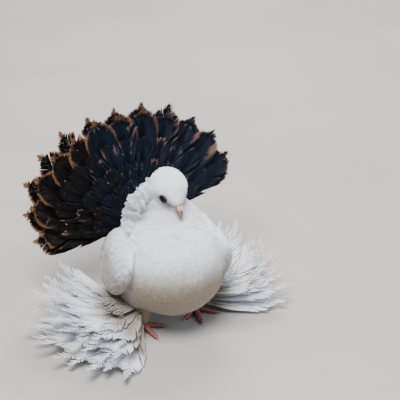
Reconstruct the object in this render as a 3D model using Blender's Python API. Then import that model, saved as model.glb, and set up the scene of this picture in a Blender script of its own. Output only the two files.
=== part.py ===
"""A fantail pigeon standing with its tail fanned: a still, life-size figure in closed solids.

Metres, +Z up. The bird looks along -Y and its left side is at +X. The finished
figure stands on z = 0, with the middle of its bounding box over the origin.
"""

import math
from collections import namedtuple

import bmesh
import bpy
import numpy as np
from mathutils import Matrix, Vector

GAP = 0.0003
SEED = 11

# Torso, from the breast to the rump
BREAST_Y = -0.072
RUMP_Y = 0.060
TORSO_SIDES = 24
TORSO_RINGS = 16
# share of the length, half width, height above and depth below the axis, height of the axis
TORSO_SECTIONS = (
    (0.00, 0.004, 0.004, 0.004, 0.073),
    (0.04, 0.022, 0.021, 0.022, 0.0725),
    (0.16, 0.043, 0.039, 0.041, 0.070),
    (0.32, 0.054, 0.046, 0.0475, 0.068),
    (0.50, 0.056, 0.047, 0.0495, 0.067),
    (0.68, 0.050, 0.043, 0.046, 0.067),
    (0.85, 0.038, 0.034, 0.035, 0.069),
    (1.00, 0.026, 0.025, 0.024, 0.070),
)

# Neck, from inside the breast up to the head
NECK_SIDES = 22
NECK_RINGS = 10
# share of the height, y and z of the middle, half width, half depth
NECK_SECTIONS = (
    (0.00, -0.021, 0.086, 0.049, 0.040),
    (0.25, -0.019, 0.101, 0.046, 0.033),
    (0.45, -0.011, 0.1135, 0.0385, 0.0215),
    (0.62, -0.006, 0.1225, 0.0305, 0.0170),
    (0.80, -0.004, 0.132, 0.0215, 0.0155),
    (0.92, -0.003, 0.139, 0.0175, 0.0150),
    (1.00, -0.002, 0.145, 0.0150, 0.0140),
)

# Ruffled nape: a row of small vanes that stand up behind the neck
NAPE_COUNT = 8
NAPE_LEFT = 0.55
NAPE_LENGTH = 0.036
NAPE_HALF_WIDE = 0.0075
NAPE_SPREAD = 0.019
NAPE_HEIGHT = 0.108
NAPE_STEP = 0.003
NAPE_BEHIND = 0.002
NAPE_ROUND = 0.007
NAPE_WAY = Vector((0.50, 0.42, 0.80))
NAPE_FACE = Vector((0.30, 1.0, 0.0))
NAPE_CURL = math.radians(35)
NAPE_ROLL = math.radians(-10)
NAPE_CAMBER = 0.2

# Head, turned a little to the bird's left and bowed
HEAD_MIDDLE = Vector((0.0025, -0.0095, 0.1445))
HEAD_TURN = math.radians(9)
HEAD_BOW = math.radians(40)
NAPE_BACK = 0.022
FACE_FRONT = 0.0205
HEAD_SIDES = 20
HEAD_RINGS = 12
# share from nape to bill, half width, height above and depth below the axis
HEAD_SECTIONS = (
    (0.00, 0.0050, 0.0050, 0.0050),
    (0.08, 0.0125, 0.0115, 0.0115),
    (0.28, 0.0190, 0.0145, 0.0205),
    (0.50, 0.0198, 0.0156, 0.0215),
    (0.68, 0.0168, 0.0148, 0.0178),
    (0.84, 0.0118, 0.0115, 0.0118),
    (0.95, 0.0072, 0.0074, 0.0072),
    (1.00, 0.0046, 0.0042, 0.0048),
)
EYE_FORWARD = 0.0072
EYE_UP = 0.0018
EYE_OUT = 0.0106
EYE_RADIUS = 0.0046
EYE_SEGMENTS = 12
LID_OUT = 0.0136
LID_RADIUS = 0.0042
LID_THICK = 0.0009
LID_TURN = 18.0

# Bill and cere
BILL_ROOT = 0.0170
BILL_LENGTH = 0.0128
BILL_WIDE = 0.0044
BILL_DEEP = 0.0040
BILL_DROOP = math.radians(16)
BILL_HOOK = 0.0022
BILL_TIP = 0.1
BILL_FULLNESS = 1.7
BILL_SHARES = (0.0, 0.25, 0.5, 0.72, 0.88, 1.0)
BILL_SIDES = 7
LOWER_LENGTH = 0.92
LOWER_DEPTH = 0.62
LOWER_HOOK = 0.8
CERE_RADIUS = 0.0028
CERE_PLACE = (0.0019, BILL_ROOT + 0.0062, 0.0026)
CERE_SEGMENTS = 8
NOSTRIL_SIZE = (0.0010, 0.0014, 0.0004)
NOSTRIL_PLACE = (0.0046, BILL_ROOT + 0.0070, 0.0016)

# Wings, folded along the flanks
WING_MIDDLES = {1: Vector((0.0405, 0.004, 0.0755)), -1: Vector((-0.0460, 0.007, 0.0742))}
WING_REACH = 0.054
WING_RISE = 0.037
WING_DROP = 0.041
WING_THICK = 0.0165
WING_FALL = math.radians(15)
WING_IN = math.radians(8)
WING_TILT = 0.32
WING_RINGS = 11
WING_SIDES = 16
WING_TAPER = 0.30
WING_LAYER_STEP = 0.0011
WING_CLOSE = 0.10
FLIGHT_BEND = math.radians(-7)
FLIGHT_CAMBER = 0.10
# Roots run back along the wing from start to end and from low to high above its axis. The first
# feather leaves at fall degrees below the axis and the last at closing, shorter by shorter.
WingTier = namedtuple(
    "WingTier", "name count start end low high layer length shorter half_wide fall closing"
)
WING_TIERS = (
    WingTier("primary", 5, 0.020, 0.026, -0.018, -0.003, -0.0050, 0.094, 0.018, 0.0082, 6, 0),
    WingTier("secondary", 5, -0.008, 0.020, -0.020, -0.003, 0.0030, 0.036, -0.016, 0.0105, 22, 8),
)

# Tail: two tiers of feathers round a root disc behind the rump
FAN_ROOT = Vector((0.0, 0.0665, 0.070))
FAN_LEAN = math.radians(10)
FAN_DISC_RADIUS = 0.023
FAN_DISC_THICK = 0.015
FAN_DISC_TAPER = 0.8
FAN_DISC_SEGMENTS = 28
SLAB_SIZE = 0.2
FAN_MIDDLE_STEP = 0.0010
# angle up from the bird's left in degrees, and the feather's share of its tier's length
FAN_PROFILE = (
    (20, 1.00),
    (41, 1.07),
    (60, 1.065),
    (90, 1.03),
    (128, 1.04),
    (140, 1.06),
    (152, 1.05),
    (164, 0.96),
    (174, 0.875),
    (182, 0.81),
)
FAN_UNEVEN = 0.02
FAN_CAMBER = 0.06
# Quills stand reach from the fan's middle and depth before it, from the first angle up from the
# bird's left to the last. Lean and bend go towards the front; all angles are in degrees.
FanTier = namedtuple(
    "FanTier", "name count first last depth reach length half_wide outline lean bend roll"
)
FAN_TIERS = (
    FanTier("front", 12, 30, 172, 0.0034, 0.0150, 0.103, 0.0172, "fan", -8.0, 10, 9),
    FanTier("back", 12, 24, 178, -0.0042, 0.0150, 0.107, 0.0168, "fan", -10.5, 8, 9),
    FanTier("covert", 9, 30, 168, 0.0055, 0.0165, 0.055, 0.0115, "covert", 2.0, -6, 6),
)

# Legs and feet
LEG_SPOTS = {"left": Vector((0.033, 0.001, 0.0)), "right": Vector((-0.028, -0.010, 0.0))}
SHANK_TOP = 0.036
SHANK_FOOT = 0.0096
SHANK_RADIUS = 0.0090
SHANK_SPREAD = 0.0047
SHANK_RINGS = 5
SHANK_SIDES = 14
FOOT_RADIUS = 0.0058
FOOT_HEIGHT = 0.0040
TOE_THICK = 0.0034
TOE_TAPER = 0.34
TOE_PADS = 3
TOE_PAD_SWELL = 0.07
TOE_SINK = 0.80
TOE_RINGS = 6
TOE_SIDES = 8
INSTEP = 0.0026
CLAW_LENGTH = 0.0075
CLAW_ROOT = 0.0016
CLAW_THICK = 0.00135
CLAW_TAPER = 0.8
CLAW_HEIGHT = 0.0020
CLAW_HOOK = 0.0010
CLAW_DROP = 0.0012
CLAW_RINGS = 4
CLAW_SIDES = 6
# Each toe's heading from straight ahead, positive towards that foot's outer side, and its length
TOES = {
    "left": ((-50.0, 0.021), (-9.0, 0.026), (50.0, 0.022), (176.0, 0.013)),
    "right": ((-72.0, 0.021), (-8.0, 0.026), (48.0, 0.022), (172.0, 0.013)),
}

# Foot feathers: tiers of vanes that spread out from each shank. Headings are in degrees ahead of
# straight out. Each vane starts at pitch degrees and bends up by rise_front to rise_back more.
MuffTier = namedtuple("MuffTier", "count first last height pitch rise_front rise_back length")
MUFF_TIERS = {
    "left": (
        MuffTier(6, 24, -52, 0.0125, -13.0, 19.0, 28.0, 0.094),
        MuffTier(6, 20, -42, 0.0165, 2.0, 14.0, 36.0, 0.094),
        MuffTier(5, 6, -42, 0.0205, 8.0, 30.0, 50.0, 0.092),
    ),
    "right": (
        MuffTier(8, 59, -50, 0.0125, -12.5, 18.5, 28.0, 0.115),
        MuffTier(7, 53, -42, 0.0165, 2.0, 8.0, 34.0, 0.106),
        MuffTier(6, 34, -38, 0.0205, 8.0, 16.0, 36.0, 0.093),
    ),
}
MUFF_ROOT = 0.003
MUFF_STEP = 0.0006
MUFF_TILT_STEP = 1.2
MUFF_ROLL = math.radians(9)
MUFF_UNEVEN = 0.04
MUFF_CAMBER = 0.05
MUFF_HALF_WIDE = 0.0125
VANE_THICK = 0.0007
ROLL_EASE = 0.15
STRAIGHT = 1e-4

# Vane outlines: share along the shaft for the middle and for the two edges, and share of the width
OUTLINES = {
    "fan": (
        (0.00, 0.00, 0.10),
        (0.14, 0.14, 0.15),
        (0.38, 0.38, 0.62),
        (0.62, 0.63, 0.93),
        (0.79, 0.82, 1.00),
        (0.88, 0.90, 0.70),
        (0.905, 0.925, 0.16),
        (0.93, 0.985, 0.30),
        (0.955, 0.978, 0.10),
        (1.00, 1.00, 0.05),
    ),
    "muff": (
        (0.00, 0.00, 0.10),
        (0.22, 0.22, 0.36),
        (0.48, 0.49, 0.98),
        (0.70, 0.80, 0.86),
        (0.78, 0.81, 0.20),
        (0.86, 0.945, 0.50),
        (0.92, 0.94, 0.12),
        (1.00, 1.00, 0.05),
    ),
    "flight": (
        (0.00, 0.00, 0.25),
        (0.25, 0.25, 0.80),
        (0.65, 0.66, 1.00),
        (0.90, 0.90, 0.74),
        (1.00, 1.00, 0.16),
    ),
    "covert": (
        (0.00, 0.00, 0.22),
        (0.45, 0.45, 0.95),
        (0.82, 0.84, 0.85),
        (1.00, 1.00, 0.18),
    ),
}

# name, colour and roughness of each surface
PAINTS = {
    "white": ("white_plumage", (0.86, 0.87, 0.90), 0.75),
    "black": ("black_plumage", (0.012, 0.014, 0.020), 0.55),
    "bill": ("bill_horn", (0.62, 0.40, 0.38), 0.45),
    "cere": ("cere_skin", (0.80, 0.66, 0.66), 0.60),
    "red": ("foot_skin", (0.42, 0.07, 0.08), 0.50),
    "nail": ("claw_horn", (0.72, 0.62, 0.52), 0.40),
    "eye": ("eye", (0.010, 0.007, 0.006), 0.10),
}
SHARP = math.radians(40)


def clear_scene():
    """Takes away whatever the file was opened with."""
    for thing in list(bpy.data.objects):
        bpy.data.objects.remove(thing)


def material(name, colour, roughness):
    """A plain surface in the part's colour."""
    made = bpy.data.materials.new(name)
    made.use_nodes = True
    shader = made.node_tree.nodes["Principled BSDF"]
    shader.inputs["Base Color"].default_value = (*colour, 1.0)
    shader.inputs["Roughness"].default_value = roughness
    shader.inputs["Metallic"].default_value = 0.0
    return made


def make(name, points, faces, surface, parts):
    """A mesh object with its faces pointing out."""
    mesh = bpy.data.meshes.new(name)
    mesh.from_pydata([tuple(map(float, p)) for p in points], [], faces)
    work = bmesh.new()
    work.from_mesh(mesh)
    bmesh.ops.recalc_face_normals(work, faces=work.faces)
    work.to_mesh(mesh)
    work.free()
    mesh.materials.append(surface)
    made = bpy.data.objects.new(name, mesh)
    parts.objects.link(made)
    return made


def through(rows, shares):
    """The columns of rows at the given shares, on a smooth curve through every row."""
    rows = np.array(rows, float)
    at, values = rows[:, 0], rows[:, 1:]
    slope = np.gradient(values, at, axis=0)
    low = np.clip(np.searchsorted(at, shares) - 1, 0, len(at) - 2)
    span = (at[low + 1] - at[low])[:, None]
    t = (shares - at[low])[:, None] / span
    return (
        (2 * t**3 - 3 * t**2 + 1) * values[low]
        + (t**3 - 2 * t**2 + t) * span * slope[low]
        + (3 * t**2 - 2 * t**3) * values[low + 1]
        + (t**3 - t**2) * span * slope[low + 1]
    )


def eased(count):
    """Shares from 0 to 1 that crowd towards both ends, so that round ends stay round."""
    return 0.5 - 0.5 * np.cos(np.linspace(0, math.pi, count))


def oval(sides, half_wide, up, down):
    """A closed section: x across and z up, with its own height above and depth below the axis."""
    turn = np.linspace(0, 2 * math.pi, sides, endpoint=False)
    x = half_wide * np.cos(turn)
    z = np.where(np.sin(turn) > 0, up, down) * np.sin(turn)
    return x, z


def loft(name, rings, surface, parts):
    """A closed body through rings of equal count. Each end closes on its middle."""
    rings = np.array(rings, float)
    count, sides, _ = rings.shape
    points = [*rings.reshape(-1, 3), rings[0].mean(axis=0), rings[-1].mean(axis=0)]
    faces = []
    for ring in range(count - 1):
        for side in range(sides):
            a = ring * sides + side
            b = ring * sides + (side + 1) % sides
            faces.append((a, b, b + sides, a + sides))
    first, last = count * sides, count * sides + 1
    for side in range(sides):
        after = (side + 1) % sides
        faces.append((first, after, side))
        faces.append((last, (count - 1) * sides + side, (count - 1) * sides + after))
    return make(name, points, faces, surface, parts)


def tube(name, centres, radii, sides, surface, parts, floor=None):
    """A round body along centres, with a flat sole where it would pass below the floor."""
    centres = np.array(centres, float)
    rings = []
    for index, centre in enumerate(centres):
        before = centres[max(index - 1, 0)]
        after = centres[min(index + 1, len(centres) - 1)]
        along = Vector(after - before).normalized()
        side = along.cross(Vector((0, 0, 1)))
        side = side.normalized() if side.length > STRAIGHT else Vector((1, 0, 0))
        up = side.cross(along)
        x, z = oval(sides, radii[index], radii[index], radii[index])
        rings.append(centre + np.outer(x, side) + np.outer(z, up))
    rings = np.array(rings)
    if floor is not None:
        rings[..., 2] = np.maximum(rings[..., 2], floor)
    return loft(name, rings, surface, parts)


def combine(body, pieces, operation):
    """Joins or cuts body with all the pieces in one Boolean, then drops the pieces."""
    operands = bpy.data.collections.new("operands")
    bpy.context.scene.collection.children.link(operands)
    for piece in pieces:
        for home in list(piece.users_collection):
            home.objects.unlink(piece)
        operands.objects.link(piece)
    step = body.modifiers.new("combine", "BOOLEAN")
    step.operation = operation
    step.solver = "EXACT"
    step.operand_type = "COLLECTION"
    step.collection = operands
    graph = bpy.context.evaluated_depsgraph_get()
    graph.update()
    mesh = bpy.data.meshes.new_from_object(body.evaluated_get(graph))
    body.modifiers.clear()
    body.data = mesh
    for piece in list(operands.objects):
        bpy.data.objects.remove(piece)
    bpy.data.collections.remove(operands)
    keep_largest(body)


def keep_largest(body):
    """Leaves only the closed surface that holds the most volume."""
    work = bmesh.new()
    work.from_mesh(body.data)
    bmesh.ops.remove_doubles(work, verts=work.verts, dist=1e-6)
    bmesh.ops.triangulate(work, faces=work.faces)
    left = set(work.verts)
    islands = []
    while left:
        start = left.pop()
        island, edge = {start}, [start]
        while edge:
            vertex = edge.pop()
            for link in vertex.link_edges:
                other = link.other_vert(vertex)
                if other in left:
                    left.discard(other)
                    island.add(other)
                    edge.append(other)
        islands.append(island)

    def volume(island):
        total = 0.0
        for face in {face for vertex in island for face in vertex.link_faces}:
            a, b, c = (loop.vert.co for loop in face.loops)
            total += a.dot(b.cross(c)) / 6
        return total

    islands.sort(key=volume)
    dropped = [vertex for island in islands[:-1] for vertex in island]
    bmesh.ops.delete(work, geom=dropped, context="VERTS")
    work.to_mesh(body.data)
    work.free()


def vane(name, root, along, face, length, half_wide, shape, surface, parts,
         bend=0.0, roll=0.0, camber=0.0):
    """One feather: a thin plate either side of a shaft that bends towards its face.

    Each station has a left edge, a middle and a right edge, on both faces, and both
    faces are split into triangles alike.
    """
    outline = OUTLINES[shape]
    along = along.normalized()
    face = (face - along * face.dot(along)).normalized()
    bend = bend if abs(bend) > STRAIGHT else STRAIGHT

    def shaft(share):
        turn = bend * share
        reach = length * math.sin(turn) / bend
        rise = length * (1 - math.cos(turn)) / bend
        heading = along * math.cos(turn) + face * math.sin(turn)
        return root + along * reach + face * rise, heading

    points = []
    for middle, edge, wide in outline:
        centre, heading = shaft(middle)
        beside, _ = shaft(edge)
        turned = Matrix.Rotation(roll * min(1.0, middle / ROLL_EASE), 3, heading)
        side = turned @ heading.cross(face).normalized()
        up = side.cross(heading).normalized()
        half = half_wide * wide
        drop = up * (camber * half * wide)
        lift = up * (VANE_THICK / 2)
        corners = (beside - side * half - drop, centre, beside + side * half - drop)
        points += [corner + lift for corner in corners]
        points += [corner - lift for corner in corners]
    faces = []
    for station in range(len(outline) - 1):
        a = 6 * station
        b = a + 6
        for left, right in ((0, 1), (1, 2)):
            faces += [(a + left, a + right, b + right), (a + left, b + right, b + left)]
            faces += [
                (a + left + 3, b + right + 3, a + right + 3),
                (a + left + 3, b + left + 3, b + right + 3),
            ]
        faces += [(a, b, b + 3), (a, b + 3, a + 3)]
        faces += [(a + 2, b + 5, b + 2), (a + 2, a + 5, b + 5)]
    for a in (0, 6 * (len(outline) - 1)):
        faces += [(a, a + 1, a + 4), (a, a + 4, a + 3), (a + 1, a + 2, a + 5), (a + 1, a + 5, a + 4)]
    return make(name, points, faces, surface, parts)


def torso_rings(grow=0.0):
    """Sections across the body from the breast to the rump."""
    rings = []
    for share, (wide, up, down, height) in zip(
        eased(TORSO_RINGS), through(TORSO_SECTIONS, eased(TORSO_RINGS))
    ):
        x, z = oval(TORSO_SIDES, wide + grow, up + grow, down + grow)
        y = BREAST_Y - grow + (RUMP_Y - BREAST_Y + 2 * grow) * share
        rings.append(np.stack([x, np.full_like(x, y), height + z], axis=1))
    return rings


def neck_rings(grow=0.0):
    """Level sections from inside the breast up into the head."""
    shares = np.linspace(0, 1, NECK_RINGS)
    rings = []
    for y, z, wide, deep in through(NECK_SECTIONS, shares):
        x, across = oval(NECK_SIDES, wide + grow, deep + grow, deep + grow)
        rings.append(np.stack([x, y - across, np.full_like(x, z)], axis=1))
    return rings


def head_frame():
    """The head's own axes: x to its left, y towards the bill and z to the crown."""
    turn = Matrix.Rotation(HEAD_TURN, 4, "Z")
    bow = Matrix.Rotation(HEAD_BOW, 4, "X")
    look = Matrix.Rotation(math.pi, 4, "Z")
    return Matrix.Translation(HEAD_MIDDLE) @ turn @ bow @ look @ Matrix.Scale(-1, 4, (1, 0, 0))


def in_head(point):
    """A place given in the head's own axes, in the bird's."""
    return head_frame() @ Vector(point)


def head_rings(grow=0.0):
    """Sections across the head from the nape to the root of the bill."""
    rings = []
    for share, (wide, up, down) in zip(
        eased(HEAD_RINGS), through(HEAD_SECTIONS, eased(HEAD_RINGS))
    ):
        x, z = oval(HEAD_SIDES, wide + grow, up + grow, down + grow)
        y = -NAPE_BACK - grow + (FACE_FRONT + NAPE_BACK + 2 * grow) * share
        rings.append([in_head((a, y, b)) for a, b in zip(x, z)])
    return rings


def from_bmesh(name, work, place, surface, parts):
    """An object from a bmesh that is then set in place."""
    mesh = bpy.data.meshes.new(name)
    work.to_mesh(mesh)
    work.free()
    mesh.transform(place)
    mesh.materials.append(surface)
    made = bpy.data.objects.new(name, mesh)
    parts.objects.link(made)
    return made


def ball(name, middle, radius, surface, parts, segments=EYE_SEGMENTS):
    """A sphere as a primitive mesh."""
    work = bmesh.new()
    bmesh.ops.create_uvsphere(work, u_segments=segments, v_segments=segments // 2 + 1, radius=radius)
    return from_bmesh(name, work, Matrix.Translation(middle), surface, parts)


def eyelid(side, name):
    """The ring of bare skin round an eye."""
    bpy.ops.mesh.primitive_torus_add(
        major_radius=LID_RADIUS, minor_radius=LID_THICK, major_segments=14, minor_segments=5
    )
    lid = bpy.context.object
    lid.name = name
    place = head_frame() @ Matrix.Translation((side * LID_OUT, EYE_FORWARD, EYE_UP))
    lid.data.transform(place @ Matrix.Rotation(math.radians(side * LID_TURN), 4, "Z")
                       @ Matrix.Rotation(math.radians(90), 4, "Y"))
    lid.data.flip_normals()
    return lid


def build_torso(paint, parts):
    """The trunk, round at the breast and cut flat behind, where the tail's root meets it."""
    torso = loft("torso", torso_rings(), paint["white"], parts)
    back = slab("rump_cutter", FAN_DISC_THICK / 2 + GAP, paint["white"], parts)
    combine(torso, [back], "DIFFERENCE")
    return torso


def slab(name, front, surface, parts):
    """A cutter that fills everything behind the front plane of the tail's root."""
    work = bmesh.new()
    bmesh.ops.create_cube(work, size=SLAB_SIZE)
    place = fan_place() @ Matrix.Translation((0, 0, front - SLAB_SIZE / 2))
    return from_bmesh(name, work, place, surface, parts)


def build_neck(paint, parts):
    """The neck, which widens down over the shoulders, with the ruffled nape behind it."""
    neck = loft("neck", neck_rings(), paint["white"], parts)
    nape = []
    for index in range(NAPE_COUNT):
        across = (1 + NAPE_LEFT) * index / (NAPE_COUNT - 1) - 1
        spread = Vector((across, 1, 1))
        root = Vector((NAPE_SPREAD * across, NAPE_BEHIND - NAPE_ROUND * across**2,
                       NAPE_HEIGHT + NAPE_STEP * (index % 2)))
        nape.append(vane(f"nape_{index}", root, NAPE_WAY * spread, NAPE_FACE * spread,
                         NAPE_LENGTH, NAPE_HALF_WIDE, "covert", paint["white"], parts,
                         bend=NAPE_CURL, roll=NAPE_ROLL * across, camber=NAPE_CAMBER))
    combine(neck, nape, "UNION")
    trunk = loft("trunk_cutter", torso_rings(GAP), paint["white"], parts)
    skull = loft("head_cutter", head_rings(GAP), paint["white"], parts)
    combine(neck, [trunk, skull], "DIFFERENCE")
    return neck


def build_head(paint, parts):
    """The head with its eyelids, cut for the eyes, the bill and the neck, and the pieces set in it."""
    head = loft("head", head_rings(), paint["white"], parts)
    lids, sockets, eyes = [], [], []
    for side, name in ((1, "left"), (-1, "right")):
        lids.append(eyelid(side, f"lid_{name}"))
        middle = in_head((side * EYE_OUT, EYE_FORWARD, EYE_UP))
        sockets.append(ball(f"socket_{name}", middle, EYE_RADIUS + GAP, paint["white"], parts))
        eyes.append(ball(f"eye_{name}", middle, EYE_RADIUS, paint["eye"], parts))
    combine(head, lids, "UNION")
    upper, lower, cere, cutters = build_bill(paint, parts)
    combine(head, sockets + cutters, "DIFFERENCE")
    return [head, *eyes, upper, lower, cere]


def bill_rings(upper, grow=0.0):
    """Half ovals from inside the face to the tip: the upper half hooks down over the lower."""
    length = BILL_LENGTH * (1 if upper else LOWER_LENGTH)
    height = BILL_DEEP * (1 if upper else LOWER_DEPTH)
    hook = BILL_HOOK * (1 if upper else LOWER_HOOK)
    way = 1 if upper else -1
    turn = np.linspace(0, math.pi, BILL_SIDES)
    rings = []
    for share in BILL_SHARES:
        taper = BILL_TIP + (1 - BILL_TIP) * math.sqrt(1 - share**BILL_FULLNESS)
        droop = -math.tan(BILL_DROOP) * length * share - hook * share**3
        x = (BILL_WIDE * taper + grow) * np.cos(turn)
        z = droop + way * (GAP / 2 - grow + (height * taper + 2 * grow) * np.sin(turn))
        y = BILL_ROOT - grow + (length + 2 * grow) * share
        rings.append([in_head((a, y, b)) for a, b in zip(x, z)])
    return rings


def cere_halves(name, grow, surface, parts):
    """The two round halves of the cere, on top of the root of the bill."""
    out, forward, up = CERE_PLACE
    return [
        ball(f"{name}_{side}", in_head((side * out, forward, up)), CERE_RADIUS + grow, surface,
             parts, segments=CERE_SEGMENTS)
        for side in (1, -1)
    ]


def build_bill(paint, parts):
    """Upper and lower bill with the mouth line between them, and the cere over the nostrils."""
    upper = loft("bill_upper", bill_rings(True), paint["bill"], parts)
    lower = loft("bill_lower", bill_rings(False), paint["bill"], parts)
    cere, other_half = cere_halves("cere", 0.0, paint["cere"], parts)
    cere.name = "cere"
    combine(cere, [other_half], "UNION")
    beneath = [loft("cere_seat", bill_rings(True, GAP), paint["white"], parts)]
    beneath += [nostril(side, paint, parts) for side in (1, -1)]
    combine(cere, beneath, "DIFFERENCE")
    cutters = [
        loft("upper_cutter", bill_rings(True, GAP), paint["white"], parts),
        loft("lower_cutter", bill_rings(False, GAP), paint["white"], parts),
    ]
    cutters += cere_halves("cere_cutter", GAP, paint["white"], parts)
    return upper, lower, cere, cutters


def nostril(side, paint, parts):
    """The cutter for the slit under one half of the cere."""
    slit = ball(f"nostril_{side}", Vector((0, 0, 0)), 1.0, paint["white"], parts, segments=8)
    out, forward, up = NOSTRIL_PLACE
    place = head_frame() @ Matrix.Translation((side * out, forward, up))
    slit.data.transform(place @ Matrix.Diagonal((*NOSTRIL_SIZE, 1.0)))
    slit.data.flip_normals()
    return slit


def wing_axes(side):
    """The folded wing's own axes: back along it, up across it and out from the flank."""
    flat = Vector((-side * math.sin(WING_IN), math.cos(WING_IN), 0))
    back = flat * math.cos(WING_FALL) - Vector((0, 0, math.sin(WING_FALL)))
    out = Vector((side * math.cos(WING_IN), math.sin(WING_IN), WING_TILT))
    out = (out - back * out.dot(back)).normalized()
    up = out.cross(back) * -side
    return back, up if up.z > 0 else -up, out


def wing_arm(side, name, paint, parts):
    """The covered arm: a lens that lies along the flank and thins towards the tail."""
    back, up, out = wing_axes(side)
    middle = WING_MIDDLES[side]
    rings = []
    for share in eased(WING_RINGS):
        along = WING_REACH * (2 * share - 1)
        swell = max(0.06, math.sin(math.pi * share) ** 0.6) * (1 - WING_TAPER * share)
        x, z = oval(WING_SIDES, WING_THICK * swell, WING_RISE * swell, WING_DROP * swell)
        rings.append([middle + back * along + out * a + up * b for a, b in zip(x, z)])
    return loft(f"wing_{name}", rings, paint["white"], parts)


def build_wing(side, name, paint, parts):
    """A folded wing: the covered arm hugs the flank, and the flight feathers leave it in tiers."""
    back, up, out = wing_axes(side)
    middle = WING_MIDDLES[side]
    arm = wing_arm(side, name, paint, parts)
    feathers = []
    for tier in WING_TIERS:
        for index in range(tier.count):
            share = index / (tier.count - 1)
            root = middle + back * (tier.start + (tier.end - tier.start) * share)
            root += up * (tier.low + (tier.high - tier.low) * share)
            root += out * (tier.layer + WING_LAYER_STEP * index)
            fall = math.radians(tier.fall + (tier.closing - tier.fall) * share)
            along = back - up * math.tan(fall) - out * WING_CLOSE
            feathers.append(vane(
                f"{tier.name}_{index}", root, along, out, tier.length - tier.shorter * share,
                tier.half_wide, "flight", paint["white"], parts,
                bend=FLIGHT_BEND, camber=FLIGHT_CAMBER))
    combine(arm, feathers, "UNION")
    trunk = loft("flank_cutter", torso_rings(GAP), paint["white"], parts)
    nape = loft("shoulder_cutter", neck_rings(GAP), paint["white"], parts)
    combine(arm, [trunk, nape], "DIFFERENCE")
    return arm


def fan_axes():
    """The fan's own axes: to the bird's left, up the fan, and out of its front."""
    right = Vector((1, 0, 0))
    up = Vector((0, math.sin(FAN_LEAN), math.cos(FAN_LEAN)))
    return right, up, right.cross(up)


def fan_feather(tier, index, rng, paint, parts):
    """One tail feather. Each rolls so that its inner edge lies behind the next one inwards."""
    middle = tier.count // 2
    degrees = tier.first + (tier.last - tier.first) * index / (tier.count - 1)
    angle = math.radians(degrees)
    right, up, front = fan_axes()
    radial = right * math.cos(angle) + up * math.sin(angle)
    lean = math.radians(tier.lean)
    depth = tier.depth + (FAN_MIDDLE_STEP if index == middle else 0)
    share = through(FAN_PROFILE, np.array([degrees]))[0, 0]
    length = tier.length * (share + rng.uniform(-FAN_UNEVEN, FAN_UNEVEN))
    return vane(
        f"{tier.name}_{index}", FAN_ROOT + radial * tier.reach + front * depth,
        radial * math.cos(lean) + front * math.sin(lean), front, length, tier.half_wide,
        tier.outline, paint["black"], parts, bend=math.radians(tier.bend),
        roll=math.radians(tier.roll) * np.sign(index - middle), camber=FAN_CAMBER)


def build_tail(rng, paint, parts):
    """The fan: a root disc with a front tier, a back tier and the coverts before them."""
    feathers = [
        fan_feather(tier, index, rng, paint, parts)
        for tier in FAN_TIERS for index in range(tier.count)
    ]
    disc = fan_disc(paint, parts)
    combine(disc, feathers, "UNION")
    return disc


def fan_place():
    """The matrix that sets a piece in the fan: x to the bird's left, y up the fan, z ahead."""
    place = Matrix.Translation(FAN_ROOT)
    for column, axis in enumerate(fan_axes()):
        place.col[column][:3] = axis
    return place


def fan_disc(paint, parts):
    """The root of the tail: a short round block whose front face meets the rump."""
    work = bmesh.new()
    bmesh.ops.create_cone(
        work, cap_ends=True, segments=FAN_DISC_SEGMENTS, radius1=FAN_DISC_RADIUS * FAN_DISC_TAPER,
        radius2=FAN_DISC_RADIUS, depth=FAN_DISC_THICK)
    return from_bmesh("tail", work, fan_place(), paint["black"], parts)


def muff_vane(tier, row, index, side, spot, rng, paint, parts):
    """One foot feather. Odd ones start a little higher, so that neighbours pass clear."""
    share = index / (tier.count - 1)
    heading = math.radians(tier.first + (tier.last - tier.first) * share)
    out = Vector((side * math.cos(heading), -math.sin(heading), 0))
    tilt = math.radians(tier.pitch + MUFF_TILT_STEP * (index % 2))
    up = Vector((0, 0, 1))
    root = spot + out * MUFF_ROOT + up * (tier.height + MUFF_STEP * (index % 2))
    rise = tier.rise_front + (tier.rise_back - tier.rise_front) * share
    length = tier.length * (1 + rng.uniform(-MUFF_UNEVEN, MUFF_UNEVEN))
    return vane(
        f"muff_{row}_{index}", root, out * math.cos(tilt) + up * math.sin(tilt), up, length,
        MUFF_HALF_WIDE, "muff", paint["white"], parts, bend=math.radians(rise),
        roll=side * MUFF_ROLL, camber=MUFF_CAMBER)


def build_leg(side, name, rng, paint, parts):
    """A feathered shank with the tiers of foot feathers that spread from it."""
    spot = LEG_SPOTS[name]
    shares = np.linspace(0, 1, SHANK_RINGS)
    centres = [(spot.x, spot.y, SHANK_FOOT + (SHANK_TOP - SHANK_FOOT) * s) for s in shares]
    radii = SHANK_RADIUS + SHANK_SPREAD * shares
    shank = tube(f"leg_{name}", centres, radii, SHANK_SIDES, paint["white"], parts)
    feathers = [
        muff_vane(tier, row, index, side, spot, rng, paint, parts)
        for row, tier in enumerate(MUFF_TIERS[name]) for index in range(tier.count)
    ]
    combine(shank, feathers, "UNION")
    trunk = loft("belly_cutter", torso_rings(GAP), paint["white"], parts)
    combine(shank, [trunk], "DIFFERENCE")
    return shank


def toe_way(side, heading):
    """The level direction of a toe."""
    turn = math.radians(heading)
    return Vector((side * math.sin(turn), -math.cos(turn), 0))


def build_toe(name, spot, way, length, paint, parts):
    """A tapering toe with swollen pads and a flat sole."""
    centres, radii = [], []
    for share in np.linspace(0, 1, TOE_RINGS):
        pads = 1 + TOE_PAD_SWELL * math.cos(2 * math.pi * TOE_PADS * share)
        radius = TOE_THICK * (1 - TOE_TAPER * share) * pads
        height = INSTEP * (1 - share) ** 2 + radius * TOE_SINK
        centres.append(spot + way * (length * share) + Vector((0, 0, height)))
        radii.append(radius)
    return tube(name, centres, radii, TOE_SIDES, paint["red"], parts, floor=0.0)


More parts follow.
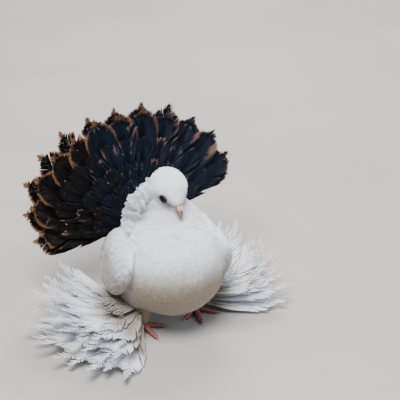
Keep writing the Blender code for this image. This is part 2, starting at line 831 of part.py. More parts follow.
def build_claw(name, tip, way, paint, parts, grow=0.0):
    """A short hooked claw whose point comes down to the floor."""
    centres, radii = [], []
    for share in np.linspace(0, 1, CLAW_RINGS):
        reach = CLAW_LENGTH * share - CLAW_ROOT + grow * (2 * share - 1)
        height = CLAW_HEIGHT + CLAW_HOOK * math.sin(math.pi * share) - CLAW_DROP * share
        centres.append(tip + way * reach + Vector((0, 0, height)))
        radii.append(CLAW_THICK * (1 - CLAW_TAPER * share) + grow)
    return tube(name, centres, radii, CLAW_SIDES, paint["nail"], parts)


def build_foot(side, name, paint, parts):
    """Hub and four toes on the floor, with a claw before each toe."""
    spot = LEG_SPOTS[name]
    toes, seats = [], []
    for index, (heading, length) in enumerate(TOES[name], start=1):
        way = toe_way(side, heading)
        tip = spot + way * length
        toes.append(build_toe(f"toe_{index}", spot, way, length, paint, parts))
        seats.append(build_claw(f"seat_{index}", tip, way, paint, parts, grow=GAP))
        build_claw(f"claw_{name}_{index}", tip, way, paint, parts)
    hub = ball(f"foot_{name}", spot + Vector((0, 0, FOOT_HEIGHT)), FOOT_RADIUS, paint["red"], parts)
    for vertex in hub.data.vertices:
        vertex.co.z = min(max(vertex.co.z, 0), SHANK_FOOT - GAP)
    combine(hub, toes, "UNION")
    combine(hub, seats, "DIFFERENCE")
    return hub


def settle(parts):
    """Hangs every piece on one empty and puts the bounding box's middle over the origin."""
    bpy.context.view_layer.update()
    corners = np.array([
        obj.matrix_world @ vertex.co for obj in parts.objects for vertex in obj.data.vertices
    ])
    low, high = corners.min(axis=0), corners.max(axis=0)
    bird = bpy.data.objects.new("pigeon", None)
    parts.objects.link(bird)
    for obj in [thing for thing in parts.objects if thing.type == "MESH"]:
        box = np.array([vertex.co for vertex in obj.data.vertices])
        middle = Vector((box.min(axis=0) + box.max(axis=0)) / 2)
        obj.data.transform(Matrix.Translation(-middle))
        obj.data.shade_smooth()
        obj.data.set_sharp_from_angle(angle=SHARP)
        obj.location = middle
        obj.parent = bird
    bird.location = (-(low[0] + high[0]) / 2, -(low[1] + high[1]) / 2, -low[2])


def main():
    """Builds the bird, one node after another."""
    clear_scene()
    rng = np.random.default_rng(SEED)
    parts = bpy.data.collections.new("fantail_pigeon")
    bpy.context.scene.collection.children.link(parts)
    paint = {key: material(*values) for key, values in PAINTS.items()}
    build_torso(paint, parts)
    build_neck(paint, parts)
    build_head(paint, parts)
    build_tail(rng, paint, parts)
    for side, name in ((1, "left"), (-1, "right")):
        build_wing(side, name, paint, parts)
        build_leg(side, name, rng, paint, parts)
        build_foot(side, name, paint, parts)
    settle(parts)


main()
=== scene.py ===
"""Looks of a standing fantail pigeon: skin, feathers, eyes, bill, feet and stage.

Metres, +Z up; the bird looks along -Y and its left side is at +X. Places are given in the bird's
own axes, where the trunk's middle is at x = 0, and those of the eyes and bill in the head's own.
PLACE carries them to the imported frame.
"""

import math
from collections import namedtuple

import bpy
import numpy as np
from bpy.props import FloatProperty, FloatVectorProperty, PointerProperty
from mathutils import Matrix, Vector
from mathutils.bvhtree import BVHTree
from mathutils.kdtree import KDTree


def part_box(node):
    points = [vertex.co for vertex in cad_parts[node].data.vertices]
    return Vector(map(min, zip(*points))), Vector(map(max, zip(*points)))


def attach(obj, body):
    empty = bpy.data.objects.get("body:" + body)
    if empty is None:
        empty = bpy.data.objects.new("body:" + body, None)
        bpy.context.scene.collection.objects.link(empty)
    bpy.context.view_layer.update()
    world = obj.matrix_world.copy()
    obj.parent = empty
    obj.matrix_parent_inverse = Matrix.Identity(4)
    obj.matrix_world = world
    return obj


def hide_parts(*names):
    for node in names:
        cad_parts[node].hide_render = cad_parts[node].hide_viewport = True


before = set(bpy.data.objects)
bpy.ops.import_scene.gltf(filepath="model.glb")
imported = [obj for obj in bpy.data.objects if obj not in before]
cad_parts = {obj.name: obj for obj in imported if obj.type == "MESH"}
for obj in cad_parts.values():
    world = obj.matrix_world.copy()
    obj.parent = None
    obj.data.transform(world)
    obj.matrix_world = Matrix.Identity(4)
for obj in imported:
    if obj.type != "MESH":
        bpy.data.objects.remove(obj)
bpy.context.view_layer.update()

bl_info = {
    "name": "Fantail Pigeon Looks",
    "version": (1, 0, 0),
    "blender": (4, 5, 0),
    "location": "3D View > Sidebar > Pigeon",
    "description": "Skin, feathers, eyes, bill, feet and stage of a standing fantail pigeon",
    "category": "Object",
}

SEED = 11

# Trunk: its two ends, then share of the length, half width, height above and depth below the axis,
# and the axis's own height
BREAST_Y = -0.072
RUMP_Y = 0.060
TRUNK = (
    (0.00, 0.004, 0.004, 0.004, 0.073),
    (0.04, 0.022, 0.021, 0.022, 0.0725),
    (0.16, 0.043, 0.039, 0.041, 0.070),
    (0.32, 0.054, 0.046, 0.0475, 0.068),
    (0.50, 0.056, 0.047, 0.0495, 0.067),
    (0.68, 0.050, 0.043, 0.046, 0.067),
    (0.85, 0.038, 0.034, 0.035, 0.069),
    (1.00, 0.026, 0.025, 0.024, 0.070),
)
# Neck: share of the height, y and z of the middle, half width, half depth
NECK = (
    (0.00, -0.021, 0.086, 0.049, 0.040),
    (0.25, -0.019, 0.101, 0.046, 0.033),
    (0.45, -0.011, 0.1135, 0.0385, 0.0215),
    (0.62, -0.006, 0.1225, 0.0305, 0.0170),
    (0.80, -0.004, 0.132, 0.0215, 0.0155),
    (0.92, -0.003, 0.139, 0.0175, 0.0150),
    (1.00, -0.002, 0.145, 0.0150, 0.0140),
)
# Head: its middle, turn to the left and bow, how far it reaches back and ahead along its axis, then
# share from nape to bill, half width, height above and depth below that axis
HEAD_MIDDLE = np.array((0.0025, -0.0095, 0.1445))
HEAD_TURN = math.radians(9)
HEAD_BOW = math.radians(40)
NAPE_BACK = 0.022
FACE_FRONT = 0.0205
HEAD = (
    (0.00, 0.0050, 0.0050, 0.0050),
    (0.08, 0.0125, 0.0115, 0.0115),
    (0.28, 0.0190, 0.0145, 0.0205),
    (0.50, 0.0198, 0.0156, 0.0215),
    (0.68, 0.0168, 0.0148, 0.0178),
    (0.84, 0.0118, 0.0115, 0.0118),
    (0.95, 0.0072, 0.0074, 0.0072),
    (1.00, 0.0046, 0.0042, 0.0048),
)
# The left eye in the head's own axes, how far behind its middle the skin makes room for it, and
# its lid: half length, half height and half thickness
EYE_SPOT = np.array((0.0103, 0.0072, 0.0018))
EYE_RADIUS = 0.0046
EYE_AIM = np.array((0.93, 0.34, 0.10))
EYE_BEHIND = 0.002
LID_LONG = 0.0045
LID_TALL = 0.0040
LID_THICK = 0.00056
# Bill: root and length along the head's axis, half width, height of each half, droop and hook, half
# the width of the mouth line, and the lower half's shares of the upper's length, height and hook
BILL_ROOT = 0.0170
BILL_LENGTH = 0.0128
BILL_WIDE = 0.0044
BILL_DEEP = 0.0040
BILL_DROOP = math.radians(16)
BILL_HOOK = 0.0022
MOUTH_LINE = 0.00015
LOWER_SHARES = (0.92, 0.62, 0.8)
# The left half of the cere: where it starts and how it runs, its half thickness, and how much less
# that is at the front, across and in height. Then the nostril in it, with its two half widths
CERE_START = np.array((0.0016, BILL_ROOT + 0.0022, 0.0029))
CERE_RUN = np.array((-0.0002, 0.0060, -0.0016))
CERE_THICK = 0.0021
CERE_TAPERS = (0.0003, 0.0005)
NOSTRIL_START = np.array((0.00325, BILL_ROOT + 0.0046, 0.0022))
NOSTRIL_RUN = np.array((-0.0010, 0.0028, -0.0013))
NOSTRIL_WIDE = 0.00040
NOSTRIL_TALL = 0.00028
# Folded wing: its middle on each side, half length, height above and depth below its axis, half
# thickness, how far it falls and closes in towards the tail, its tilt and the slope of its shoulder
WING_MIDDLES = {1: np.array((0.0405, 0.004, 0.0755)), -1: np.array((-0.0460, 0.007, 0.0742))}
WING_REACH = 0.054
WING_RISE = 0.037
WING_DROP = 0.041
WING_THICK = 0.0165
WING_FALL = math.radians(15)
WING_IN = math.radians(8)
WING_TILT = 0.32
SHOULDER_SLOPE = 0.10
# The left flank below its wing: half thickness and half height, where it starts and how it runs
FLANK_THICK = 0.0165
FLANK_TALL = 0.028
FLANK_START = np.array((0.0385, -0.040, 0.050))
FLANK_RUN = np.array((-0.006, 0.095, 0.004))
# Tail: the root of its feathers, and how far the fan leans back
FAN_ROOT = np.array((0.0, 0.0665, 0.070))
FAN_LEAN = math.radians(10)
# Angle up from the bird's left in degrees, and the feather's share of its tier's length
FAN_PROFILE = ((20, 1.0), (41, 1.07), (60, 1.065), (90, 1.03), (128, 1.045), (140, 1.065), (152, 1.05),
               (164, 0.955), (174, 0.87), (182, 0.81))
# Legs: where each stands, the ends of its shank, how far the shank runs on into the belly, its
# half thickness and how much thicker it is on top, and the toes' turns out from straight ahead in
# degrees with their lengths
LEG_SPOTS = {"left": np.array((0.033, 0.001, 0.0)), "right": np.array((-0.028, -0.010, 0.0))}
SHANK_TOP = 0.036
SHANK_FOOT = 0.0096
SHANK_INSIDE = 0.004
SHANK_THICK = 0.0090
SHANK_SWELL = 0.0047
TOES = {
    "left": ((-50.0, 0.021), (-9.0, 0.026), (50.0, 0.022), (176.0, 0.013)),
    "right": ((-72.0, 0.021), (-8.0, 0.026), (48.0, 0.022), (172.0, 0.013)),
}
# A toe's half thickness at its root, how much of it is gone at the tip, how much higher its root
# lies, and the step of its scutes
TOE_THICK = 0.0034
TOE_TAPER = 0.34
TOE_RISE = 0.0026
SCUTE_STEP = 0.0021
# A claw's length, the part of it inside the toe, its half thickness, the height of its root, how far
# it arches up and how much lower its tip lies
CLAW_LENGTH = 0.0075
CLAW_INSIDE = 0.0016
CLAW_THICK = 0.00135
CLAW_HEIGHT = 0.0020
CLAW_ARCH = 0.0010
CLAW_FALL = 0.0012
# The joint of the toes: its lowest point, its height, and its radius against the share of that
HUB_FOOT = 0.0005
HUB_TALL = 0.0085
HUB = ((0.0, 0.0032), (0.1, 0.0050), (0.35, 0.0057), (0.6, 0.0052), (1.0, 0.0042))
# Where the breast feathers spread from
THROAT = np.array((0.002, -0.006, 0.122))

torso_low, torso_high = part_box("torso")
PLACE = np.array(((torso_low[0] + torso_high[0]) / 2, torso_low[1] - BREAST_Y, 0.0))
SIDES = (("left", 1), ("right", -1))
LEFT, BACK, UP = np.identity(3)


# Curves and axes

def through(rows, shares):
    """The columns of rows at the shares, on the cubic curve whose slope at each row is the mean one."""
    rows = np.array(rows, float)
    at, values = rows[:, 0], rows[:, 1:]
    slope = np.gradient(values, at, axis=0)
    low = np.clip(np.searchsorted(at, shares) - 1, 0, len(at) - 2)
    span = (at[low + 1] - at[low])[:, None]
    t = (shares - at[low])[:, None] / span
    return ((2 * t**3 - 3 * t**2 + 1) * values[low] + (t**3 - 2 * t**2 + t) * span * slope[low]
            + (3 * t**2 - 2 * t**3) * values[low + 1] + (t**3 - t**2) * span * slope[low + 1])


def table(rows, shares):
    """The second column of rows at the shares, on straight lines between the rows."""
    rows = np.array(rows, float)
    return np.interp(shares, rows[:, 0], rows[:, 1])


def eased(count):
    """Shares from 0 to 1 on half a cosine wave, crowded towards both ends."""
    return 0.5 - 0.5 * np.cos(np.linspace(0, math.pi, count))


def smooth(low, high, value):
    """0 at low, 1 at high, and the cubic 3t^2 - 2t^3 between them; low may be above high."""
    t = np.clip((value - low) / (high - low), 0, 1)
    return t * t * (3 - 2 * t)


def circle(count):
    """Angles evenly round a full turn, from 0."""
    return np.linspace(0, 2 * math.pi, count, endpoint=False)


def unit(rows):
    """Each row over its own length."""
    return rows / np.maximum(np.linalg.norm(rows, axis=-1, keepdims=True), 1e-9)


def head_axes():
    """Columns: the head's left, its way forward along the bill, and up through its crown."""
    turn = np.array(Matrix.Rotation(HEAD_TURN, 3, "Z") @ Matrix.Rotation(HEAD_BOW, 3, "X"))
    return turn @ np.diag((1.0, -1.0, 1.0))


HEAD_AXES = head_axes()


def in_head(points):
    """Points given in the head's own axes, in the bird's."""
    return HEAD_MIDDLE + np.asarray(points) @ HEAD_AXES.T


def to_head(points):
    """Points given in the bird's axes, in the head's own."""
    return (points - HEAD_MIDDLE) @ HEAD_AXES


def straight(start, run, shares, side):
    """Places at shares of a straight run from start, mirrored where side is -1."""
    return (start + np.outer(shares, run)) * (side, 1, 1)


def eye_place(side):
    """The middle of an eye and the way it looks, in the head's own axes."""
    mirror = (side, 1, 1)
    return EYE_SPOT * mirror, unit(EYE_AIM * mirror)


def from_axis(points, middle, aim):
    """How far places lie along a line through middle, and how far to its side."""
    off = points - middle
    out = off @ aim
    return out, np.linalg.norm(off - out[:, None] * aim, axis=1)


def wing_axes(side):
    """Rows: back along the folded wing, up across it and out from the flank."""
    flat = np.array((-side * math.sin(WING_IN), math.cos(WING_IN), 0.0))
    back = flat * math.cos(WING_FALL) - UP * math.sin(WING_FALL)
    out = np.array((side * math.cos(WING_IN), math.sin(WING_IN), WING_TILT))
    out = unit(out - back * out.dot(back))
    up = np.cross(out, back)
    return np.array((back, up if up[2] > 0 else -up, out))


def fan_axes():
    """Rows: to the bird's left, up the fan and out of its front."""
    up = BACK * math.sin(FAN_LEAN) + UP * math.cos(FAN_LEAN)
    return np.array((LEFT, up, np.cross(LEFT, up)))


# Meshes

class Surface:
    """Gathers many small bodies as arrays: points, faces, two maps, three marks and shading."""

    def __init__(self):
        """Starts with nothing gathered."""
        self.points, self.quads, self.triangles = [], [], []
        self.bake, self.vane, self.marks, self.shade = [], [], [], []
        self.count = 0

    def add(self, points, quads, triangles, bake, vane, marks, shade=None):
        """Points with their place in both maps and their marks; faces count from the first point.
        Shade is the normal that each point is lit by, where it isn't the surface's own."""
        if shade is not None:
            self.shade.append(shade)
        self.points.append(points)
        self.quads.append(quads + self.count)
        self.triangles.append(triangles + self.count)
        self.bake.append(bake)
        self.vane.append(vane)
        self.marks.append(marks)
        self.count += len(points)

    def finish(self, name, paint):
        """One mesh object with everything gathered, in the finish named paint."""
        made = mesh_object(
            name, np.concatenate(self.points), np.concatenate(self.quads),
            np.concatenate(self.triangles), paint,
            {"OFBake": np.concatenate(self.bake), "Vane": np.concatenate(self.vane)},
            dict(zip(("along", "reach", "chance"), np.concatenate(self.marks).T)))
        if self.shade:
            made.data.normals_split_custom_set_from_vertices(np.concatenate(self.shade).tolist())
        return made


def mesh_object(name, points, quads, triangles, paint, maps=None, marks=None):
    """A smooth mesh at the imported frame's place from arrays of points and faces, in the finish
    named paint; maps have a place and marks a value for every point."""
    mesh = bpy.data.meshes.new(name)
    quads, triangles = quads.reshape(-1, 4), triangles.reshape(-1, 3)
    corners = np.concatenate([quads.ravel(), triangles.ravel()]).astype(np.int32)
    starts = np.concatenate([np.arange(len(quads)) * 4,
                             len(quads) * 4 + np.arange(len(triangles)) * 3])
    mesh.vertices.add(len(points))
    mesh.vertices.foreach_set("co", (points + PLACE).astype(np.float32).ravel())
    mesh.loops.add(len(corners))
    mesh.loops.foreach_set("vertex_index", corners)
    mesh.polygons.add(len(starts))
    mesh.polygons.foreach_set("loop_start", starts.astype(np.int32))
    mesh.polygons.foreach_set("use_smooth", np.ones(len(starts), bool))
    mesh.update(calc_edges=True)
    for key, places in (maps or {}).items():
        layer = mesh.uv_layers.new(name=key)
        layer.uv.foreach_set("vector", places[corners].astype(np.float32).ravel())
    for key, values in (marks or {}).items():
        mesh.attributes.new(key, "FLOAT", "POINT").data.foreach_set("value", values.astype(np.float32))
    mesh.materials.append(bpy.data.materials[paint])
    made = bpy.data.objects.new(name, mesh)
    bpy.context.scene.collection.objects.link(made)
    return made


def grid_faces(rows, columns, closed):
    """Quads of a grid of points; closed joins the last column to the first."""
    first = np.arange(rows * columns).reshape(rows, columns)
    after = np.roll(first, -1, axis=1)
    if not closed:
        first, after = first[:, :-1], after[:, :-1]
    return np.stack([first[:-1], after[:-1], after[1:], first[1:]], axis=-1).reshape(-1, 4)


def spindle_faces(rings, sides):
    """Faces of a closed body: rings of points, then its tip point and its tail point."""
    quads = grid_faces(rings, sides, True)
    ring = np.arange(sides)
    after = np.roll(ring, -1)
    tip, tail = rings * sides, rings * sides + 1
    last = (rings - 1) * sides
    front = np.stack([last + ring, last + after, np.full(sides, tip)], axis=-1)
    back = np.stack([after, ring, np.full(sides, tail)], axis=-1)
    return quads, np.concatenate([front, back])


def spindles(coat, rings, tips, tails, bake, vane, marks, shade=None):
    """Closed bodies side by side: N runs of R rings of K points, each closed by a tip and a tail.

    bake, vane, marks and shade have a row for every ring point, and the tip and tail repeat the
    last and the first ring's mean.
    """
    count, runs, sides, _ = rings.shape
    quads, triangles = spindle_faces(runs, sides)
    size = runs * sides + 2
    shift = np.arange(count)[:, None, None] * size

    def closed(values):
        """Values of all ring points, with those of the tip and the tail after each body's own."""
        body = values.reshape(count, runs * sides, -1)
        ends = np.stack([values[:, -1].mean(axis=1), values[:, 0].mean(axis=1)], axis=1)
        return np.concatenate([body, ends], axis=1).reshape(count * size, -1)

    points = np.concatenate([rings.reshape(count, -1, 3), tips[:, None], tails[:, None]], axis=1)
    coat.add(points.reshape(-1, 3), (quads[None] + shift).reshape(-1, 4),
             (triangles[None] + shift).reshape(-1, 3), closed(bake), closed(vane), closed(marks),
             None if shade is None else unit(closed(shade)))


def loft(rings):
    """Points and faces of one closed body through rings; each end closes on its middle."""
    quads, triangles = spindle_faces(rings.shape[0], rings.shape[1])
    points = np.concatenate([rings.reshape(-1, 3), [rings[-1].mean(axis=0), rings[0].mean(axis=0)]])
    return points, quads, triangles


def one_body(coat, rings, places=None, chance=0.5):
    """A single loft as part of a piece; both its maps are round by along, or the places given."""
    runs, sides, _ = rings.shape
    across, down = np.meshgrid(np.linspace(0, 1, sides), np.linspace(0, 1, runs))
    places = (np.stack([across, down], axis=-1) if places is None else places)[None]
    marks = np.stack([down, down, chance * np.ones_like(down)], axis=-1)[None]
    spindles(coat, rings[None], rings[-1:].mean(axis=1), rings[:1].mean(axis=1), places, places, marks)


# Node helpers

def node(tree, kind, sockets=None, **settings):
    """A node with its settings, and each socket linked to another's output or set to a value."""
    made = tree.nodes.new(kind)
    for key, value in settings.items():
        setattr(made, key, value)
    for key, value in (sockets or {}).items():
        if isinstance(value, bpy.types.NodeSocket):
            tree.links.new(value, made.inputs[key])
        else:
            made.inputs[key].default_value = value
    return made


def mixed(tree, factor, first, second):
    """A mix of two colours."""
    made = node(tree, "ShaderNodeMix", {0: factor, 6: first, 7: second}, data_type="RGBA")
    return made.outputs[2]


def sums(tree, operation, *values):
    """One step of arithmetic on values or sockets."""
    made = node(tree, "ShaderNodeMath", dict(enumerate(values)), operation=operation)
    return made.outputs[0]


def product(tree, first, second):
    """Two values or sockets, multiplied."""
    return sums(tree, "MULTIPLY", first, second)


def ranged(tree, value, low, high, start=0.0, end=1.0):
    """start below low, end above high, and a smooth step between them."""
    made = node(tree, "ShaderNodeMapRange", {"Value": value, "From Min": low, "From Max": high,
                                            "To Min": start, "To Max": end},
                interpolation_type="SMOOTHSTEP")
    return made.outputs["Result"]


def mark(tree, name):
    """A mark that the piece's own points carry."""
    return node(tree, "ShaderNodeAttribute", attribute_name=name).outputs["Fac"]


def here(tree):
    """Object coordinates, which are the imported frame's."""
    return node(tree, "ShaderNodeTexCoord").outputs["Object"]


def noise(tree, vector, scale, detail=3.0):
    """A soft noise from 0 to 1."""
    return node(tree, "ShaderNodeTexNoise", {"Vector": vector, "Scale": scale, "Detail": detail}
                ).outputs["Fac"]


def group(name, ins, outs):
    """An empty shader node group with named sockets: its tree, and its input and output nodes."""
    tree = bpy.data.node_groups.new(name, "ShaderNodeTree")
    for label, kind, default in ins:
        tree.interface.new_socket(label, in_out="INPUT", socket_type=kind).default_value = default
    for label, kind in outs:
        tree.interface.new_socket(label, in_out="OUTPUT", socket_type=kind)
    return tree, tree.nodes.new("NodeGroupInput"), tree.nodes.new("NodeGroupOutput")


def use(tree, name, sockets):
    """A node group placed in a material with its own values."""
    return node(tree, "ShaderNodeGroup", sockets, node_tree=bpy.data.node_groups[name]).outputs


def surface(name, roughness, **constants):
    """A material's tree and its Principled shader, whose constants are set on its own sockets."""
    made = bpy.data.materials.new(name)
    made.use_nodes = True
    shader = made.node_tree.nodes["Principled BSDF"]
    shader.inputs["Roughness"].default_value = roughness
    for key, value in constants.items():
        shader.inputs[key.replace("_", " ")].default_value = value
    return made.node_tree, shader


def relieve(tree, shader, height, strength, depth):
    """Gives a shader relief from a height, by its strength and its depth in metres."""
    relief = node(tree, "ShaderNodeBump", {"Height": height, "Strength": strength, "Distance": depth})
    tree.links.new(relief.outputs[0], shader.inputs["Normal"])


def rgba(colour):
    """A colour with full opacity."""
    return (*colour, 1.0)


def apart(tree, vector, middle):
    """Distance of object coordinates from a place given in the bird's axes."""
    made = node(tree, "ShaderNodeVectorMath", {0: vector, 1: tuple(np.asarray(middle) + PLACE)},
                operation="DISTANCE")
    return made.outputs["Value"]


def nearness(tree, vector, middle, radius):
    """1 at a place of the bird and 0 a radius away from it."""
    return ranged(tree, apart(tree, vector, middle), 0.0, radius, 1.0, 0.0)


# Finishes

# Painted grey-brown shade from round the eye to the bill, where the face lies in shadow: how far ahead on
# the head, its radius and strength; its row starts level with the eye and falls towards the bill
LORE_START = 0.007
LORE_FALL = 0.12
LORE_SHADE = ((0.0040, 0.0110, 0.50), (0.0085, 0.0108, 0.90), (0.0110, 0.0098, 1.0), (0.0135, 0.0086, 1.0),
        (0.0160, 0.0070, 1.0), (0.0185, 0.0060, 0.95))
# Painted shade on the plumage where it lies in shadow: the middle, radius and strength of each spot
PAINTED_SHADES = (
    # Painted shade on the side of the neck
    ((-0.0270, -0.0085, 0.1215), 0.0125, 1.05),
    ((-0.0225, -0.0080, 0.1285), 0.0105, 0.90),
    # Painted shade on both wings
    ((-0.0620, 0.0060, 0.0770), 0.0200, 1.30),
    ((-0.0540, 0.0380, 0.0720), 0.0280, 1.60),
    ((-0.0670, -0.0060, 0.0630), 0.0270, 1.70),
    ((-0.0670, -0.0240, 0.0550), 0.0280, 1.80),
    ((-0.0580, -0.0340, 0.0470), 0.0250, 1.70),
    ((0.0620, -0.0160, 0.0640), 0.0240, 1.20),
    # Painted shade in the crease below the right cheek
    ((-0.0052, -0.0196, 0.1310), 0.0062, 0.70),
    ((-0.0085, -0.0190, 0.1313), 0.0066, 0.75),
    ((-0.0120, -0.0175, 0.1318), 0.0068, 0.75),
    ((-0.0152, -0.0150, 0.1324), 0.0070, 0.75),
    ((-0.0175, -0.0120, 0.1325), 0.0072, 0.70),
    ((-0.0195, -0.0085, 0.1322), 0.0075, 0.70),
    # The fleck on the breast: painted shadow in a parting of its feathers
    ((-0.0065, -0.0385, 0.1110), 0.0030, 0.45),
    ((-0.0056, -0.0435, 0.1098), 0.0032, 0.60),
    ((-0.0040, -0.0470, 0.1088), 0.0028, 0.40),
    # Painted shade in the crease below the left cheek
    ((0.0125, -0.0188, 0.1290), 0.0052, 0.90),
    ((0.0168, -0.0140, 0.1310), 0.0055, 0.90),
    ((0.0195, -0.0090, 0.1320), 0.0060, 0.80),
)
# Painted warm shade low on the body, where it lies in shadow and takes warm light thrown up from below: its
# middle, and the distances and heights where it starts to fade and has gone
LOW_SHADE_MIDDLE = (-0.006, -0.018)
LOW_SHADE_REACH = (0.056, 0.084)
LOW_SHADE_HEIGHTS = (0.067, 0.108)
# Scales of the clouds and the mottling, how far the clouds lift the edge of the painted warm shade, how
# strong the mottling is, and the plumage's brightness: at tone 0, and how much tone adds
CLOUD_SCALE = 28.0
MOTTLE_SCALE = 150.0
RAGGED = 0.016
MOTTLING = 0.40
DIMMEST = 0.93
TONE_GAIN = 0.10


def make_plumage_group():
    """Colour of the white plumage by place: clouds of cool white, painted warm shade low down, soft
    mottling, the brightness by tone, painted shade on the neck, wings and breast, and painted shade from
    round the eyes to the bill."""
    colours = bpy.context.scene.pigeon_colours
    tree, ins, outs = group(
        "Plumage shade",
        [("Tone", "NodeSocketFloat", 0.5), ("Warmth", "NodeSocketFloat", 1.0)],
        [("Color", "NodeSocketColor")])
    at = here(tree)
    height = node(tree, "ShaderNodeSeparateXYZ", {0: at}).outputs[2]
    cloud = noise(tree, at, CLOUD_SCALE, 4.0)
    fine = noise(tree, at, MOTTLE_SCALE, 3.0)
    lifted = sums(tree, "MULTIPLY_ADD", cloud, RAGGED, height)
    level = node(tree, "ShaderNodeVectorMath", {0: at, 1: (1.0, 1.0, 0.0)}, operation="MULTIPLY")
    off = apart(tree, level.outputs[0], (*LOW_SHADE_MIDDLE, 0.0))
    # Painted warm shade low on the body, near its middle
    low_shade_mask = product(tree, ranged(tree, lifted, *LOW_SHADE_HEIGHTS, 1.0, 0.0),
                       ranged(tree, off, *LOW_SHADE_REACH, 1.0, 0.0))
    warm = product(tree, low_shade_mask, ins.outputs["Warmth"])
    white = mixed(tree, ranged(tree, cloud, 0.35, 0.7), rgba(colours.white), rgba(colours.cool))
    shade = mixed(tree, warm, white, rgba(colours.warm))
    dapple = product(tree, ranged(tree, fine, 0.42, 0.62, 0.0, MOTTLING),
                     sums(tree, "SUBTRACT", 1.0, warm))
    mottle = mixed(tree, dapple, shade, rgba(colours.mottle))
    toned = sums(tree, "MULTIPLY_ADD", ins.outputs["Tone"], TONE_GAIN, DIMMEST)
    bright = node(tree, "ShaderNodeHueSaturation", {"Value": toned, "Color": mottle}).outputs[0]
    # Painted shade from round each eye to the bill
    lore_shade = 0.0
    for _, side in SIDES:
        for ahead, size, strength in LORE_SHADE:
            share = (ahead + NAPE_BACK) / (FACE_FRONT + NAPE_BACK)
            wide = through(HEAD, np.array((share,)))[0, 0]
            level = EYE_SPOT[2] - LORE_FALL * (ahead - LORE_START)
            found = nearness(tree, at, in_head((side * wide * 0.96, ahead, level)), size)
            lore_shade = sums(tree, "MAXIMUM", lore_shade, product(tree, found, strength))
    # Painted shade on the neck, wings and breast and in the creases below the cheeks
    painted_shade = 0.0
    for middle, size, strength in PAINTED_SHADES:
        found = product(tree, nearness(tree, at, middle, size), strength)
        painted_shade = sums(tree, "MAXIMUM", painted_shade, found)
    painted_shade = product(tree, painted_shade, ranged(tree, cloud, 0.30, 0.62, 0.60, 1.0))
    shaded = mixed(tree, painted_shade, bright, rgba(colours.painted_shade))
    tree.links.new(mixed(tree, lore_shade, shaded, rgba(colours.lore_shade)), outs.inputs["Color"])


def make_barb_group():
    """Height and tone of fine barbs that run slantwise off a feather's shaft, from its own map."""
    tree, ins, outs = group(
        "Barbs", [("Count", "NodeSocketFloat", 40.0), ("Slant", "NodeSocketFloat", 0.6)],
        [("Height", "NodeSocketFloat"), ("Tone", "NodeSocketFloat")])
    place = node(tree, "ShaderNodeUVMap", uv_map="Vane").outputs[0]
    split = node(tree, "ShaderNodeSeparateXYZ", {0: place})
    across = sums(tree, "ABSOLUTE", sums(tree, "SUBTRACT", split.outputs[0], 0.5))
    run = sums(tree, "SUBTRACT", split.outputs[1], product(tree, across, ins.outputs["Slant"]))
    wave = sums(tree, "SINE", product(tree, run, ins.outputs["Count"]))
    shaft = ranged(tree, across, 0.0, 0.06, 1.0, 0.0)
    height = sums(tree, "ADD", product(tree, wave, 0.5), shaft)
    tree.links.new(height, outs.inputs["Height"])
    tree.links.new(sums(tree, "MULTIPLY_ADD", wave, 0.5, 0.5), outs.inputs["Tone"])


def make_white(name, count, relief, edge=0.0, peach=0.0, warmth=1.0, lift=0.0):
    """White plumage with count barbs in relief: greyer roots by edge, painted light shining through the
    thin tips by peach, the painted warm shade low on the body by warmth, and painted light by lift, which
    makes the tone lighter."""
    colours = bpy.context.scene.pigeon_colours
    tree, shader = surface(name, 0.78, Sheen_Weight=0.25, Sheen_Roughness=0.5,
                           Specular_IOR_Level=0.25)
    barbs = use(tree, "Barbs", {"Count": count, "Slant": 0.5})
    # The tone varies by barb and by feather, and lift adds painted light
    tone = sums(tree, "MULTIPLY_ADD", barbs["Tone"], 0.2,
                sums(tree, "MULTIPLY_ADD", mark(tree, "chance"), 0.8, lift))
    colour = use(tree, "Plumage shade", {"Tone": tone, "Warmth": warmth})["Color"]
    root = ranged(tree, mark(tree, "reach"), 0.0, 0.5, edge, 0.0)
    rooted = mixed(tree, root, colour, rgba(colours.down))
    # Painted light shining through the thin tips of the long feathers
    thin = product(tree, ranged(tree, mark(tree, "along"), 0.74, 0.92, 0.0, peach),
                   ranged(tree, noise(tree, here(tree), 16.0, 2.0), 0.45, 0.60))
    tipped = mixed(tree, thin, rooted, rgba(colours.peach))
    tree.links.new(tipped, shader.inputs["Base Color"])
    relieve(tree, shader, barbs["Height"], relief, 0.0002)


def make_skin():
    """The skin under the feathers: the plumage's own colours over a fine pimpled grain."""
    tree, shader = surface("skin_under_plumage", 0.85, Specular_IOR_Level=0.2)
    grain = noise(tree, here(tree), 900.0, 2.0)
    colour = use(tree, "Plumage shade", {"Tone": grain})["Color"]
    greyed = mixed(tree, 0.25, colour, rgba(bpy.context.scene.pigeon_colours.down))
    tree.links.new(greyed, shader.inputs["Base Color"])
    relieve(tree, shader, grain, 0.4, 0.0004)


def drawn_out(tree, marks, scales):
    """A space for noise that follows each feather: its three marks, each times its scale."""
    drawn = {index: product(tree, *pair) for index, pair in enumerate(zip(marks, scales))}
    return node(tree, "ShaderNodeCombineXYZ", drawn).outputs[0]


